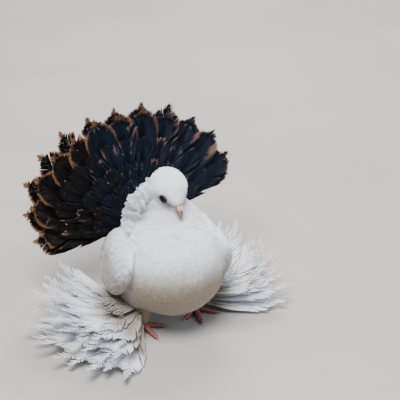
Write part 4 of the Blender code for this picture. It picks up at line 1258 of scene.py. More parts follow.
class PigeonColours(bpy.types.PropertyGroup):
    """Colours of the plumage, eyes, bill and feet."""

    # These three are the plumage's own white with a painted blue tint of the light from the sky
    white: colour_of("White", "Plumage on top", (0.835, 0.88, 0.935))
    cool: colour_of("Cool white", "Clouds in the white", (0.765, 0.82, 0.905))
    mottle: colour_of("Mottle", "Faint mottling", (0.69, 0.73, 0.82))
    # Painted warm shade low on the belly and the foot feathers
    warm: colour_of("Warm shade", "Plumage low on the belly", (0.27, 0.215, 0.16))
    # Painted shade on the neck, breast and wings
    painted_shade: colour_of("Painted shade", "Faint warm shade on the neck, breast and wings", (0.29, 0.25, 0.245))
    # Painted light shining through the thin tips of the foot feathers
    peach: colour_of("Thin tips", "Worn tips of the foot feathers", (0.78, 0.60, 0.48))
    down: colour_of("Down", "Roots of the feathers", (0.62, 0.64, 0.69))
    # Painted shade round the eye and on to the bill
    lore_shade: colour_of("Lore", "Shade from the eye to the bill", (0.15, 0.095, 0.085))
    navy: colour_of("Blue-black", "Tail feathers on the left", (0.0026, 0.0064, 0.0155))
    brown: colour_of("Brown-black", "Tail feathers on the right", (0.0030, 0.0021, 0.0020))
    # Painted sheen in streaks along the tail's barbs
    worn: colour_of("Lit", "Streaks where the tail is worn", (0.038, 0.026, 0.026))
    # Partly the bleached edges of the barbs, partly painted light shining through them
    rim: colour_of("Rim", "Rims and tips of the tail feathers", (0.30, 0.16, 0.085))
    # Painted highlights as pale flecks on the tail
    glint: colour_of("Flecks", "Pale flecks on the tail", (0.46, 0.34, 0.32))
    # Painted highlight on the curled barbs near the ends of the tail feathers
    sheen: colour_of("Sheen", "Curled barbs near the ends of the tail feathers", (0.24, 0.145, 0.125))
    iris: colour_of("Iris", "Iris", (0.014, 0.007, 0.005))
    iris_pale: colour_of("Pale iris", "Streaks of the iris", (0.020, 0.009, 0.006))
    bill: colour_of("Bill", "Bill at its root", (0.32, 0.18, 0.17))
    bill_tip: colour_of("Bill tip", "Bill at its tip", (0.24, 0.13, 0.12))
    cere: colour_of("Cere", "Cere at its edges", (0.50, 0.32, 0.31))
    cere_pale: colour_of("Cere bloom", "Powder on the cere", (0.62, 0.48, 0.47))
    # Painted shade of the nostril's opening
    nostril: colour_of("Nostril", "Nostril, inside", (0.035, 0.014, 0.014))
    nostril_rim: colour_of("Nostril rim", "Nostril, at its rim", (0.07, 0.032, 0.030))
    # The bare lid, darkened as painted shade round the eye in its socket
    lid: colour_of("Lid", "Bare lid round the eye", (0.055, 0.040, 0.040))
    lid_pale: colour_of("Pale lid", "Clouds in the lid", (0.13, 0.095, 0.09))
    foot: colour_of("Foot", "Crests of the scutes", (0.35, 0.125, 0.11))
    foot_dark: colour_of("Foot shade", "Between the scutes", (0.12, 0.030, 0.030))
    foot_pale: colour_of("Foot scurf", "Pale scurf on the scutes", (0.52, 0.31, 0.28))
    claw: colour_of("Claw", "Claw at its root", (0.17, 0.10, 0.085))
    claw_tip: colour_of("Claw tip", "Claw at its tip", (0.38, 0.28, 0.22))


class PigeonStage(bpy.types.PropertyGroup):
    """Floor, lights and camera."""

    floor: colour_of("Floor", "Floor colour", (0.46, 0.45, 0.44))
    distance: length_of("Distance", "From the camera to its aim", 1.6)
    lens: FloatProperty(name="Lens", description="Focal length in millimetres", default=144.0)
    turn: FloatProperty(name="Turn", description="Camera's turn from straight ahead",
                        default=math.radians(25), subtype="ANGLE")
    rise: FloatProperty(name="Rise", description="Camera's height above level",
                        default=math.radians(25), subtype="ANGLE")
    key: FloatProperty(name="Key light", description="Power of the key light in watts", default=46.0)
    fill: FloatProperty(name="Fill light", description="Power of the fill light in watts", default=7.0)
    back: FloatProperty(name="Back light", description="Power of the back light in watts", default=26.0)


class PIGEON_OT_finishes(bpy.types.Operator):
    """Makes every finish, with the shared effects that they use"""

    bl_idname = "pigeon.finishes"
    bl_label = "Finishes"

    def execute(self, context):
        colours = context.scene.pigeon_colours
        make_plumage_group()
        make_barb_group()
        make_skin()
        make_white("white_plumage_small", 60.0, 0.25, edge=0.12)
        make_white("white_plumage_long", 90.0, 0.15)
        # The nape and foot feathers: lift is painted light, a lighter white where their layers shade each
        # other; the foot feathers also take most of the painted warm shade low on the body
        make_white("white_plumage_nape", 90.0, 0.10, lift=0.9)
        make_white("white_plumage_foot", 90.0, 0.15, peach=0.8, warmth=0.85, lift=0.7)
        make_dark("dark_tail_plumage", 1.0)
        make_dark("dark_tail_coverts", 0.0)
        make_horn("bill_horn_pink", colours.bill, colours.bill_tip, 0.38, 260.0)
        make_horn("cere_powder", colours.cere, colours.cere_pale, 0.70, 400.0)
        make_horn("claw_horn_pale", colours.claw, colours.claw_tip, 0.35, 300.0)
        make_horn("nostril_skin", colours.nostril, colours.nostril_rim, 0.7, 600.0)
        make_horn("lid_skin", colours.lid, colours.lid_pale, 0.6, 500.0)
        make_toe_skin()
        make_eye_surface()
        return {"FINISHED"}


class PIGEON_OT_skin(bpy.types.Operator):
    """One skin for trunk, neck, head, wing arms and shanks, inside the solids by the coat's depth"""

    bl_idname = "pigeon.skin"
    bl_label = "Skin"

    def execute(self, context):
        settle(make_skin_piece(), "white_plumage", "torso", "neck", "head")
        return {"FINISHED"}


# Small feathers: heights between which the body's lie and how far back, where the head's begin,
# the top of the belly's, the rear of the breast's, and how far the face's reach from the bill
BODY_COAT_FOOT = 0.0105
BODY_COAT_TOP = 0.1185
BODY_COAT_REAR = 0.056
HEAD_COAT_FOOT = 0.1165
BELLY_TOP = 0.033
BREAST_REAR = -0.012
FACE_REACH = 0.030
# Radius of the bare place at the root of the bill
CERE_REACH = 0.0062
# The middle from which the body's part of the map is unwrapped
BODY_MIDDLE = np.array((0.0, -0.005, 0.068))


def is_face(points):
    """Places that stay bare: the eyes and the root of the bill."""
    head = to_head(points)
    bare = (head[:, 1] > FACE_FRONT - 0.0012) & (np.hypot(head[:, 0], head[:, 2]) < CERE_REACH)
    for _, side in SIDES:
        out, wide = from_axis(head, *eye_place(side))
        bare |= (wide < EYE_RADIUS + 0.0004) & (out > -EYE_BEHIND)
    return bare


def head_range(points):
    """Distance from the root of the bill, which sets how long the feathers of the head are."""
    return np.linalg.norm(points - in_head((0, 0.019, 0)), axis=1)


class PIGEON_OT_body_coat(bpy.types.Operator):
    """Small feathers of the breast, belly, back and shanks"""

    bl_idname = "pigeon.body_coat"
    bl_label = "Body feathers"

    def execute(self, context):
        sizes = context.scene.pigeon_sizes
        ground = Ground()
        rng = np.random.default_rng(SEED)

        def spacing(points):
            """The same everywhere."""
            return np.full(len(points), sizes.body_gap)

        def wanted(points):
            """Below the head's feathers, above the feet, before the tail's root and off the wings."""
            return ((points[:, 2] < BODY_COAT_TOP) & (points[:, 2] > BODY_COAT_FOOT)
                    & (points[:, 1] < BODY_COAT_REAR) & (in_wing(points) < 0.15))

        places = ground.scatter(wanted, spacing, rng)
        low = places[:, 2] < BELLY_TOP
        front = (places[:, 1] < BREAST_REAR) & ~low
        for name, chosen, length, half in (
            ("breast_feathers", front, sizes.body_feather, 0.0017),
            ("back_feathers", ~front & ~low, sizes.body_feather * 1.15, 0.0019),
            ("belly_feathers", low, sizes.body_feather * 0.95, 0.0017),
        ):
            coat = Surface()
            lay_leaves(coat, ground, places[chosen], length, half, 0.0006, rng, BODY_MIDDLE, turn=0.16)
            settle(coat.finish(name, "white_plumage_small"), "white_plumage", "torso")
        return {"FINISHED"}


class PIGEON_OT_head_coat(bpy.types.Operator):
    """The finest feathers, on the face, crown and neck"""

    bl_idname = "pigeon.head_coat"
    bl_label = "Head feathers"

    def execute(self, context):
        ground = Ground()
        rng = np.random.default_rng(SEED + 1)

        def spacing(points):
            """Closest at the bill, and wider away from it."""
            return 0.00072 + 0.0010 * smooth(0.008, 0.060, head_range(points))

        def wanted(points):
            """All the head and upper neck, apart from the bare places."""
            return (points[:, 2] >= HEAD_COAT_FOOT) & ~is_face(points)

        places = ground.scatter(wanted, spacing, rng)
        face = head_range(places) < FACE_REACH
        for name, chosen in (("face_feathers", face), ("neck_feathers", ~face)):
            coat = Surface()
            spots = places[chosen]
            # Feathers grow longer, wider and looser from the bill to the neck, and loosest at the nape
            grown = smooth(0.006, 0.060, head_range(spots))
            nape = smooth(0.0, 0.012, -to_head(spots)[:, 1] - 0.008) * smooth(0.120, 0.130, spots[:, 2])
            lay_leaves(coat, ground, spots, 0.0024 + 0.0056 * grown, 0.00062 + 0.0012 * grown,
                       0.0004 + 0.0006 * grown + 0.0012 * nape, rng, in_head((0, 0, 0)), turn=0.16,
                       thick=0.00012)
            settle(coat.finish(name, "white_plumage_small"), "white_plumage", "head", "neck")
        return {"FINISHED"}


# Raised feathers of the nape in rows up the neck: how many, length, height of the roots, how far out
# from the neck's middle they start, rise, curl, and how far a row's two ends are turned from
# straight back, in degrees
NAPE_ROWS = (
    (15, 0.030, 0.106, 0.62, math.radians(50), math.radians(24), 74.0, -18.0),
    (17, 0.030, 0.110, 0.62, math.radians(49), math.radians(26), 79.0, -18.0),
    (19, 0.027, 0.115, 0.66, math.radians(53), math.radians(22), 85.0, -20.0),
    (20, 0.024, 0.120, 0.70, math.radians(57), math.radians(18), 92.0, -22.0),
    (20, 0.021, 0.125, 0.76, math.radians(60), math.radians(16), 98.0, -22.0),
    (20, 0.018, 0.130, 0.82, math.radians(62), math.radians(12), 103.0, -24.0),
    (20, 0.015, 0.136, 0.90, math.radians(64), math.radians(8), 107.0, -26.0),
)


class PIGEON_OT_nape(bpy.types.Operator):
    """The frilled cushion of raised feathers behind the neck"""

    bl_idname = "pigeon.nape"
    bl_label = "Nape frill"

    def execute(self, context):
        rng = np.random.default_rng(SEED + 2)
        coat = Surface()
        by_height = np.array(NECK)[:, (2, 0, 1, 3, 4)]
        places = iter(cells(sum(row[0] for row in NAPE_ROWS)))
        for count, length, height, share, rise, curl, first, last in NAPE_ROWS:
            _, y, wide, deep = through(by_height, np.array((height,)))[0]
            for turn in np.radians(np.linspace(first, last, count)) + rng.normal(0, 0.09, count):
                out = np.array((-math.sin(turn), math.cos(turn), 0.0))
                root = np.array((0, y, height)) + out * (wide, deep, 0) * share
                along = out * math.cos(rise) + UP * math.sin(rise)
                face = out - BACK * 1.6 * smooth(math.radians(10), math.radians(75), turn)
                shaft = Shaft(root, along + rng.normal(0, 0.15, 3), face, length * rng.uniform(0.78, 1.10),
                              curl * 0.5 + rng.normal(0, 0.12), rng.normal(0, 0.36))
                long_feather(coat, VANES["plume"], shaft, 0.75 + 0.45 * length / 0.034, next(places), rng)
        settle(coat.finish("nape_frill", "white_plumage_nape"), "white_plumage", "neck")
        return {"FINISHED"}


# Flight feathers in tiers: how many, where the first and the last start back along the wing and
# above its axis, how far out they lie, the first one's length and how much shorter the last is,
# half width, and the fall of the first and the last in degrees
WING_TIERS = (
    (6, 0.020, 0.026, -0.018, -0.006, -0.0060, 0.094, 0.018, 0.0082, 6, 0),
    (8, -0.004, 0.022, -0.020, -0.006, 0.0005, 0.036, -0.016, 0.0105, 22, 8),
    (8, 0.000, 0.022, -0.018, 0.000, 0.0030, 0.026, -0.004, 0.0085, 16, 4),
)


class PIGEON_OT_wings(bpy.types.Operator):
    """Each folded wing: flight feathers in tiers, with overlapping coverts on the arm"""

    bl_idname = "pigeon.wings"
    bl_label = "Wings"

    def execute(self, context):
        sizes = context.scene.pigeon_sizes
        ground = Ground()
        for name, side in SIDES:
            rng = np.random.default_rng(SEED + 3)
            flight = VANES["flight"]
            back, up, out = wing_axes(side)
            middle = WING_MIDDLES[side]
            coat = Surface()
            places = iter(cells(sum(tier[0] for tier in WING_TIERS)))
            for count, start, end, low, high, layer, length, shorter, half, fall, closing in WING_TIERS:
                for share in np.linspace(0, 1, count):
                    root = middle + back * (start + (end - start) * share)
                    root = root + up * (low + (high - low) * share) + out * (layer + 0.005 * share)
                    drop = math.radians(fall + (closing - fall) * share)
                    along = back - up * math.tan(drop) - out * 0.10
                    shaft = Shaft(root, along, out, length - shorter * share, math.radians(-7), 0.0)
                    long_feather(coat, flight, shaft, half / flight.half, next(places), rng)
            settle(coat.finish(f"flight_feathers_{name}", "white_plumage_long"), "white_plumage",
                   f"wing_{name}")

            def wanted(points):
                """The folded wing on this side."""
                return (in_wing(points) >= 0.05) & (points[:, 0] * side > 0)

            def spacing(points):
                """Wider towards the tail."""
                return 0.0021 + 0.0018 * smooth(-0.04, 0.04, (points - middle) @ back)

            spots = ground.scatter(wanted, spacing, rng)
            # Coverts grow longer, wider and looser towards the tail
            grown = smooth(-0.045, 0.040, (spots - middle) @ back)
            coverts = Surface()
            lay_leaves(coverts, ground, spots, 0.009 + (sizes.wing_feather - 0.009) * grown,
                       0.0030 + 0.0026 * grown, 0.0014 + 0.0010 * grown, rng, middle, turn=0.06,
                       soft=0.75, grain=0.05)
            settle(coverts.finish(f"wing_coverts_{name}", "white_plumage_small"), "white_plumage",
                   f"wing_{name}")
        return {"FINISHED"}


# Rows of tail feathers: name, how many, angle of the first and the last up from the bird's left in
# degrees, how far before the fan's middle and out from its root they start, length, vane and its
# size, then forward lean, bend and roll in degrees
FAN_TIERS = (
    ("front", 12, 30, 172, 0.0034, 0.0150, 0.103, "fan", 1.0, -8.0, 10, 9),
    ("back", 12, 24, 178, -0.0042, 0.0150, 0.107, "fan", 0.977, -10.5, 8, 9),
    ("middle", 12, 32, 168, 0.0046, 0.0160, 0.078, "fan_covert", 1.15, -3.0, 2, 7),
    ("covert", 11, 30, 168, 0.0058, 0.0165, 0.055, "fan_covert", 1.0, 2.0, -6, 6),
    ("short", 9, 32, 164, 0.0068, 0.0160, 0.038, "fan_covert", 0.85, 6.0, -8, 5),
    ("rear", 15, 14, 172, -0.0085, 0.0050, 0.048, "fan_covert", 1.0, -9.0, 6, 6),
    ("under", 10, 196, 344, -0.0088, 0.0030, 0.027, "fan_covert", 0.9, -8.0, 16, 6),
    ("inner", 9, 10, 350, -0.0100, -0.0060, 0.030, "fan_covert", 0.8, -6.0, 10, 4),
)
# Pieces of the tail: name, finish and rows
FAN_PIECES = (
    ("fan_front", "dark_tail_plumage", ("front",)),
    ("fan_back", "dark_tail_plumage", ("back",)),
    ("fan_coverts", "dark_tail_coverts", ("middle", "covert", "short")),
    ("fan_rear", "dark_tail_coverts", ("rear", "under", "inner")),
)
# Root of the tail: places before the fan's middle, and the radius at each
FAN_DISC = ((-0.0075, 0.010), (-0.0073, 0.0165), (-0.0035, 0.0198), (0.0035, 0.0220), (0.0070, 0.0215),
            (0.0075, 0.012))


class PIGEON_OT_fan(bpy.types.Operator):
    """The fanned tail: rows of broad feathers, with coverts before and behind them"""

    bl_idname = "pigeon.fan"
    bl_label = "Fanned tail"

    def execute(self, context):
        left, up, front = fan_axes()
        rng = np.random.default_rng(SEED + 4)
        for piece, paint, names in FAN_PIECES:
            tiers = [tier for tier in FAN_TIERS if tier[0] in names]
            places = iter(cells(sum(tier[1] for tier in tiers)))
            coat = Surface()
            for _, count, first, last, depth, reach, length, vane, size, lean, bend, roll in tiers:
                middle = count // 2
                for number in range(count):
                    degrees = first + (last - first) * number / (count - 1)
                    angle = math.radians(degrees)
                    radial = left * math.cos(angle) + up * math.sin(angle)
                    tilt = math.radians(lean)
                    grown = length * (table(FAN_PROFILE, degrees) + rng.uniform(-0.02, 0.02))
                    root = FAN_ROOT + radial * reach + front * (depth + 0.001 * (number == middle))
                    shaft = Shaft(root, radial * math.cos(tilt) + front * math.sin(tilt), front, grown,
                                  math.radians(bend), math.radians(roll) * np.sign(number - middle))
                    long_feather(coat, VANES[vane], shaft, size, next(places), rng)
            if piece == "fan_front":
                self.add_disc(coat)
            settle(coat.finish(piece, paint), "black_plumage", "tail")
        return {"FINISHED"}

    def add_disc(self, coat):
        """The root of the tail: a short rounded block behind the rump, a lathe about the fan's front."""
        left, up, front = fan_axes()
        ahead, radius = np.array(FAN_DISC).T
        one_body(coat, oval_rings(FAN_ROOT + ahead[:, None] * front, left, up, radius, radius, radius, 40))


# Rows of foot feathers: how many, headings of the first and the last ahead of straight out, height
# of the roots, pitch, bend of the first and of the last, all angles in degrees, and length
MUFF_TIERS = {
    "left": (
        (10, 24, -52, 0.0125, -13.0, 19.0, 28.0, 0.094),
        (10, 20, -42, 0.0165, 1.0, 14.0, 36.0, 0.094),
        (8, 8, -42, 0.0205, 7.0, 30.0, 50.0, 0.090),
        (9, 30, -36, 0.0230, 2.0, 12.0, 34.0, 0.068),
        (5, 14, -30, 0.0285, 8.0, 4.0, 10.0, 0.042),
    ),
    "right": (
        (12, 59, -50, 0.0125, -12.5, 18.5, 28.0, 0.118),
        (11, 53, -42, 0.0165, -2.5, 7.0, 34.0, 0.108),
        (9, 38, -38, 0.0205, 2.0, 12.0, 38.0, 0.094),
        (10, 50, -34, 0.0230, -3.0, 8.0, 32.0, 0.078),
        (7, 22, -32, 0.0285, 8.0, 4.0, 10.0, 0.047),
    ),
}


class PIGEON_OT_muffs(bpy.types.Operator):
    """The foot feathers, in tiers that spread from each shank"""

    bl_idname = "pigeon.muffs"
    bl_label = "Foot feathers"

    def execute(self, context):
        for name, side in SIDES:
            rng = np.random.default_rng(SEED + 5)
            coat = Surface()
            places = iter(cells(sum(tier[0] for tier in MUFF_TIERS[name])))
            for count, first, last, height, pitch, bend_front, bend_back, length in MUFF_TIERS[name]:
                for number, share in enumerate(np.linspace(0, 1, count)):
                    # Each feather strays a little from its row, in heading, pitch and roll
                    loose = rng.normal(0, 1, 3)
                    heading = math.radians(first + (last - first) * share + 1.6 * loose[0])
                    out = np.array((side * math.cos(heading), -math.sin(heading), 0.0))
                    layer = number % 3
                    raised = abs(loose[1]) if pitch < -10 else loose[1]
                    tilt = math.radians(pitch + layer + 1.8 * raised)
                    root = LEG_SPOTS[name] + out * 0.003 + UP * (height + 0.0005 * layer)
                    bend = math.radians(bend_front + (bend_back - bend_front) * share)
                    grown = length * (1 + rng.uniform(-0.12, 0.0))
                    shaft = Shaft(root, out * math.cos(tilt) + UP * math.sin(tilt), UP, grown, bend,
                                  side * math.radians(9 + 4 * loose[2]))
                    size = 1.0 if length > 0.08 else 0.8
                    long_feather(coat, VANES["muff"], shaft, size, next(places), rng)
            settle(coat.finish(f"foot_feathers_{name}", "white_plumage_foot"), "white_plumage",
                   f"leg_{name}")
        return {"FINISHED"}


class PIGEON_OT_eyes(bpy.types.Operator):
    """Wet eyes with a ring of bare lid round each"""

    bl_idname = "pigeon.eyes"
    bl_label = "Eyes and lids"

    def execute(self, context):
        lids = Surface()
        for name, side in SIDES:
            centre, aim = eye_place(side)
            level = unit(np.cross(aim, UP))
            rise = np.cross(level, aim)
            eye = Surface()
            polar = np.linspace(0.03, 0.97, 22) * math.pi
            bulge = EYE_RADIUS * (1 + 0.04 * np.exp(-(polar / 0.5) ** 2))
            wide = bulge * np.sin(polar)
            middles = centre + (bulge * np.cos(polar))[:, None] * aim
            rings = oval_rings(middles, level, rise, wide, wide, wide, 32)[:, ::side]
            places = np.stack(np.broadcast_arrays(
                circle(32)[None] / (2 * math.pi), polar[:, None] / math.pi), axis=-1)
            one_body(eye, in_head(rings)[::-1], places[::-1])
            settle(eye.finish(f"eye_{name}_wet", "wet_eye"), "eye", f"eye_{name}")
            self.add_lid(lids, centre, aim, level, rise)
        settle(lids.finish("eyelids", "lid_skin"), "cere_skin")
        return {"FINISHED"}

    def add_lid(self, lids, centre, aim, level, rise):
        """A tube round the eye on an oval that keeps to the eyeball: at angle a it lies at
        cos a times its half length and sin a times its half height, and as far out as the ball."""
        runs, sides = 40, 9
        turn = circle(runs)
        across, tall = LID_LONG * np.cos(turn), LID_TALL * np.sin(turn)
        out = np.sqrt(EYE_RADIUS**2 - across**2 * 0.98 - tall**2 * 0.98) + 0.0004
        path = centre + out[:, None] * aim + across[:, None] * level + tall[:, None] * rise
        radial = unit(path - centre)
        along = unit(np.roll(path, -1, axis=0) - np.roll(path, 1, axis=0))
        beside = np.cross(along, radial)
        thick = LID_THICK + 0.00018 * np.sin(turn)
        tube = oval_rings(path, radial[:, None], beside[:, None], thick, 1.5 * thick, 1.5 * thick, sides)
        near = np.arange(runs * sides).reshape(runs, sides)
        far = np.roll(near, -1, axis=0)
        quads = np.stack([near, np.roll(near, -1, 1), np.roll(far, -1, 1), far], axis=-1).reshape(-1, 4)
        share = np.stack(np.meshgrid(np.linspace(0, 1, sides), np.linspace(0, 1, runs)), -1).reshape(-1, 2)
        lids.add(in_head(tube).reshape(-1, 3), quads, np.zeros((0, 3), int), share, share,
                 np.stack([share[:, 0], share[:, 1], 0.5 + 0 * share[:, 0]], 1))


class PIGEON_OT_bill(bpy.types.Operator):
    """Upper and lower bill with the mouth line between them, the two halves of the cere and a
    nostril in each"""

    bl_idname = "pigeon.bill"
    bl_label = "Bill and cere"

    def execute(self, context):
        for name, way in (("upper", 1), ("lower", -1)):
            horn = Surface()
            one_body(horn, self.half_bill(way))
            settle(horn.finish(f"bill_{name}_horn", "bill_horn_pink"), "bill_horn", f"bill_{name}")
        cere = Surface()
        for _, side in SIDES:
            one_body(cere, self.half_cere(side))
        settle(cere.finish("cere_halves", "cere_powder"), "cere_skin", "cere")
        slits = Surface()
        for _, side in SIDES:
            one_body(slits, self.nostril(side))
        settle(slits.finish("nostrils", "nostril_skin"), "cere_skin")
        return {"FINISHED"}

    def half_bill(self, way):
        """Half ovals that narrow on a root curve and droop towards a hooked tip; way is 1 for the
        upper half and -1 for the lower, which is shorter, flatter and less hooked."""
        sizes = np.array((BILL_LENGTH, BILL_DEEP, BILL_HOOK))
        length, height, hook = sizes * (1 if way > 0 else LOWER_SHARES)
        share = eased(22)[:, None]
        taper = 0.1 + 0.9 * np.sqrt(np.maximum(1 - share**1.7, 0))
        turn = np.linspace(0, math.pi, 15)[None]
        lip = np.linspace(math.pi, 2 * math.pi, 7)[None, 1:-1]
        droop = -math.tan(BILL_DROOP) * length * share - hook * share**3
        wide = BILL_WIDE * taper
        x = np.concatenate([wide * np.cos(turn), wide * 0.98 * np.cos(lip)], axis=1)
        z = np.concatenate([droop + way * (MOUTH_LINE + height * taper * np.sin(turn)),
                            droop + way * (MOUTH_LINE + 0.0 * lip)], axis=1)
        y = np.broadcast_to(BILL_ROOT + length * share, x.shape)
        return in_head(np.stack([-way * x, y, z], axis=-1))

    def nostril(self, side):
        """A dark slit low on the front of one half of the cere, its dark the painted shade of the opening:
        a ball drawn out along the bill.
        """
        share = eased(10)
        radius = np.sin(math.pi * np.clip(share, 0.04, 0.96))
        middles = straight(NOSTRIL_START, NOSTRIL_RUN, share, -side)
        wide, high = NOSTRIL_WIDE * radius, NOSTRIL_TALL * radius
        return in_head(oval_rings(middles, -LEFT, UP, wide, high, high, 10))

    def half_cere(self, side):
        """A soft bulge over one nostril: a ball drawn out along the bill and undercut at its front."""
        share = eased(16)
        radius = np.sin(math.pi * np.clip(share, 0.02, 0.98)) ** 0.7
        middles = straight(CERE_START, CERE_RUN, share, -side)
        wide, high = ((CERE_THICK - taper * share) * radius for taper in CERE_TAPERS)
        return in_head(oval_rings(middles, -LEFT, UP, wide, high, 0.9 * high, 18))


class PIGEON_OT_feet(bpy.types.Operator):
    """Scaled red feet on the floor, with pale claws"""

    bl_idname = "pigeon.feet"
    bl_label = "Feet and claws"

    def execute(self, context):
        for name, side in SIDES:
            foot = Surface()
            stand = LEG_SPOTS[name]
            for index, (heading, length) in enumerate(TOES[name], start=1):
                turn = math.radians(heading)
                way = np.array((side * math.sin(turn), -math.cos(turn), 0.0))
                self.add_toe(foot, stand, way, length)
                claw = Surface()
                self.add_claw(claw, stand + way * length, way)
                settle(claw.finish(f"claw_{name}_{index}_horn", "claw_horn_pale"), "claw_horn",
                       f"claw_{name}_{index}")
            self.add_hub(foot, stand)
            settle(foot.finish(f"foot_{name}_scaled", "foot_scutes"), "foot_skin", f"foot_{name}")
        return {"FINISHED"}

    def add_body(self, coat, centres, radii, flat, crest):
        """Rounds along centres, with what lies below the height flat pressed up to it; crest is
        the mark of each point."""
        along = unit(np.gradient(centres, axis=0))
        side = unit(np.cross(along, UP))
        up = np.cross(side, along)
        turn = circle(radii.shape[1])
        rings = (centres[:, None] + (radii * np.cos(turn))[..., None] * side[:, None]
                 + (radii * np.sin(turn))[..., None] * up[:, None])
        rings[..., 2] = np.maximum(rings[..., 2], flat)
        one_body(coat, rings[:, ::-1], chance=crest[:, ::-1])

    def add_toe(self, coat, stand, way, length):
        """A tapering toe: scutes stand up across its top in rounded steps, pads swell beneath."""
        share = np.linspace(0, 1, 66)[:, None]
        turn = circle(20)[None]
        top = np.clip(np.sin(turn), 0, 1) ** 0.6
        scutes = np.abs(np.sin(math.pi * length / SCUTE_STEP * share)) ** 0.45
        pads = 1 + 0.09 * np.cos(6 * math.pi * share) * np.clip(-np.sin(turn), 0, 1)
        thick = TOE_THICK * (1 - TOE_TAPER * share)
        radius = thick * pads * np.ones_like(turn) + 0.00032 * (scutes - 0.6) * top
        radius = radius * np.minimum(1, np.sqrt(np.clip((1.02 - share) / 0.10, 0, 1)) + 0.25)
        height = TOE_RISE * (1 - share) ** 2 + thick * 0.80
        centres = stand + way * (length * share) + height * UP
        self.add_body(coat, centres, radius, 0.0, scutes * top + 0.4 * (1 - top))

    def add_hub(self, coat, stand):
        """The joint of the toes and the short bare end of the shank above it."""
        share = np.linspace(0, 1, 20)[:, None]
        turn = circle(28)[None]
        scutes = np.abs(np.sin(4 * math.pi * share)) ** 0.45
        radius = table(HUB, share) * np.ones_like(turn) + 0.0003 * (scutes - 0.5)
        rings = np.stack([stand[0] + radius * np.cos(turn), stand[1] + radius * np.sin(turn),
                          np.broadcast_to(HUB_FOOT + HUB_TALL * share, radius.shape)], axis=-1)
        one_body(coat, rings, chance=scutes)

    def add_claw(self, coat, tip, way):
        """A hooked claw: a cone bent on half a sine wave, blunt at the point."""
        share = np.linspace(0, 1, 16)[:, None]
        height = CLAW_HEIGHT + CLAW_ARCH * np.sin(math.pi * share) - CLAW_FALL * share
        centres = tip + way * (CLAW_LENGTH * share - CLAW_INSIDE) + height * UP
        radius = CLAW_THICK * (1 - 0.8 * share**1.3) * np.ones((1, 12))
        self.add_body(coat, centres, radius, 0.0002, np.full((16, 12), 0.5))


# Half the width of the floor, and how far to the right of the bird's middle and above it the camera
# aims, as it sees them
FLOOR_REACH = 4.0
AIM_RIGHT = 0.035
AIM_UP = 0.118
# Lights: name, place, diameter and colour, and where all of them point
LIGHTS = (
    ("key", (-0.45, -0.62, 1.45), 0.9, (1.0, 0.98, 0.95)),
    ("fill", (1.1, -0.8, 0.85), 1.2, (0.86, 0.92, 1.0)),
    ("back", (0.6, 1.0, 1.1), 0.7, (1.0, 0.95, 0.88)),
)
LIT_MIDDLE = Vector((0, 0, 0.09))
# Colour and strength of the light from all round
ROOM_COLOUR = (0.80, 0.85, 0.92)
ROOM_LIGHT = 0.45


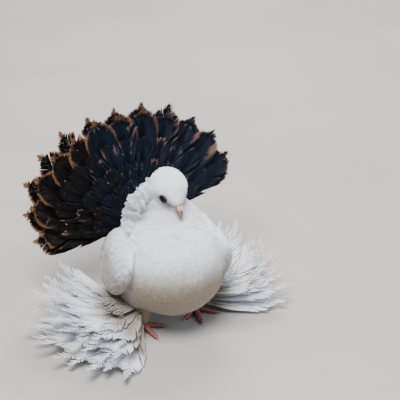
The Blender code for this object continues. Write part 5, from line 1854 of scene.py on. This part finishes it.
class PIGEON_OT_stage(bpy.types.Operator):
    """A plain pale floor, soft lights and the camera at the photograph's angle"""

    bl_idname = "pigeon.stage"
    bl_label = "Stage"

    def execute(self, context):
        stage = context.scene.pigeon_stage
        tree, shader = surface("pale_floor", 0.8, Specular_IOR_Level=0.2)
        soft = noise(tree, here(tree), 6.0, 3.0)
        pale = mixed(tree, ranged(tree, soft, 0.3, 0.7), rgba(stage.floor),
                     rgba([value * 0.94 for value in stage.floor]))
        tree.links.new(pale, shader.inputs["Base Color"])
        corners = FLOOR_REACH * np.array(((-1, -1, 0), (1, -1, 0), (-1, 1, 0), (1, 1, 0))) - PLACE
        floor = mesh_object("floor", corners, np.array([[0, 1, 3, 2]]), np.zeros((0, 3), int), "pale_floor")
        cos_t, sin_t = math.cos(stage.turn), math.sin(stage.turn)
        cos_r, sin_r = math.cos(stage.rise), math.sin(stage.rise)
        right = Vector((cos_t, -sin_t, 0))
        up = Vector((sin_t * sin_r, cos_t * sin_r, cos_r))
        forward = Vector((sin_t * cos_r, cos_t * cos_r, -sin_r))
        aim = Vector(PLACE) + right * AIM_RIGHT + up * AIM_UP
        lens = bpy.data.cameras.new("camera")
        lens.lens = stage.lens
        lens.sensor_width = 36.0
        lens.clip_start = 0.05
        camera = bpy.data.objects.new("camera", lens)
        camera.matrix_world = Matrix((right, up, -forward)).transposed().to_4x4()
        camera.location = aim - forward * stage.distance
        context.scene.collection.objects.link(camera)
        context.scene.camera = camera
        for name, place, size, colour in LIGHTS:
            light = bpy.data.lights.new(name, "AREA")
            light.shape = "DISK"
            light.size = size
            light.energy = getattr(stage, name)
            light.color = colour
            lamp = bpy.data.objects.new(name, light)
            lamp.location = place
            lamp.rotation_euler = (LIT_MIDDLE - Vector(place)).to_track_quat("-Z", "Y").to_euler()
            context.scene.collection.objects.link(lamp)
        world = bpy.data.worlds.new("pale_room")
        context.scene.world = world
        world.use_nodes = True
        glow = world.node_tree.nodes["Background"]
        glow.inputs["Color"].default_value = rgba(ROOM_COLOUR)
        glow.inputs["Strength"].default_value = ROOM_LIGHT
        return {"FINISHED"}


OPERATORS = (
    PIGEON_OT_finishes, PIGEON_OT_skin, PIGEON_OT_body_coat, PIGEON_OT_head_coat, PIGEON_OT_nape,
    PIGEON_OT_wings, PIGEON_OT_fan, PIGEON_OT_muffs, PIGEON_OT_eyes, PIGEON_OT_bill,
    PIGEON_OT_feet, PIGEON_OT_stage,
)


class VIEW3D_PT_pigeon(bpy.types.Panel):
    """Sizes, colours and pieces of the pigeon"""

    bl_idname = "VIEW3D_PT_pigeon"
    bl_label = "Fantail Pigeon"
    bl_space_type = "VIEW_3D"
    bl_region_type = "UI"
    bl_category = "Pigeon"

    def draw(self, context):
        for owner in (context.scene.pigeon_sizes, context.scene.pigeon_colours,
                      context.scene.pigeon_stage):
            box = self.layout.box()
            for key in owner.__annotations__:
                box.prop(owner, key)
        for operator in OPERATORS:
            self.layout.operator(operator.bl_idname)


GROUPS = {"pigeon_sizes": PigeonSizes, "pigeon_colours": PigeonColours, "pigeon_stage": PigeonStage}


def register():
    """Adds the property groups, operators and panel."""
    for owner in (*GROUPS.values(), *OPERATORS, VIEW3D_PT_pigeon):
        bpy.utils.register_class(owner)
    for key, owner in GROUPS.items():
        setattr(bpy.types.Scene, key, PointerProperty(type=owner))


def unregister():
    """Takes them away again."""
    for key in GROUPS:
        delattr(bpy.types.Scene, key)
    for owner in (VIEW3D_PT_pigeon, *reversed(OPERATORS), *GROUPS.values()):
        bpy.utils.unregister_class(owner)


def main():
    """Registers the add-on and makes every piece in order."""
    register()
    for operator in OPERATORS:
        family, name = operator.bl_idname.split(".")
        getattr(getattr(bpy.ops, family), name)()


if __name__ == "__main__":
    main()
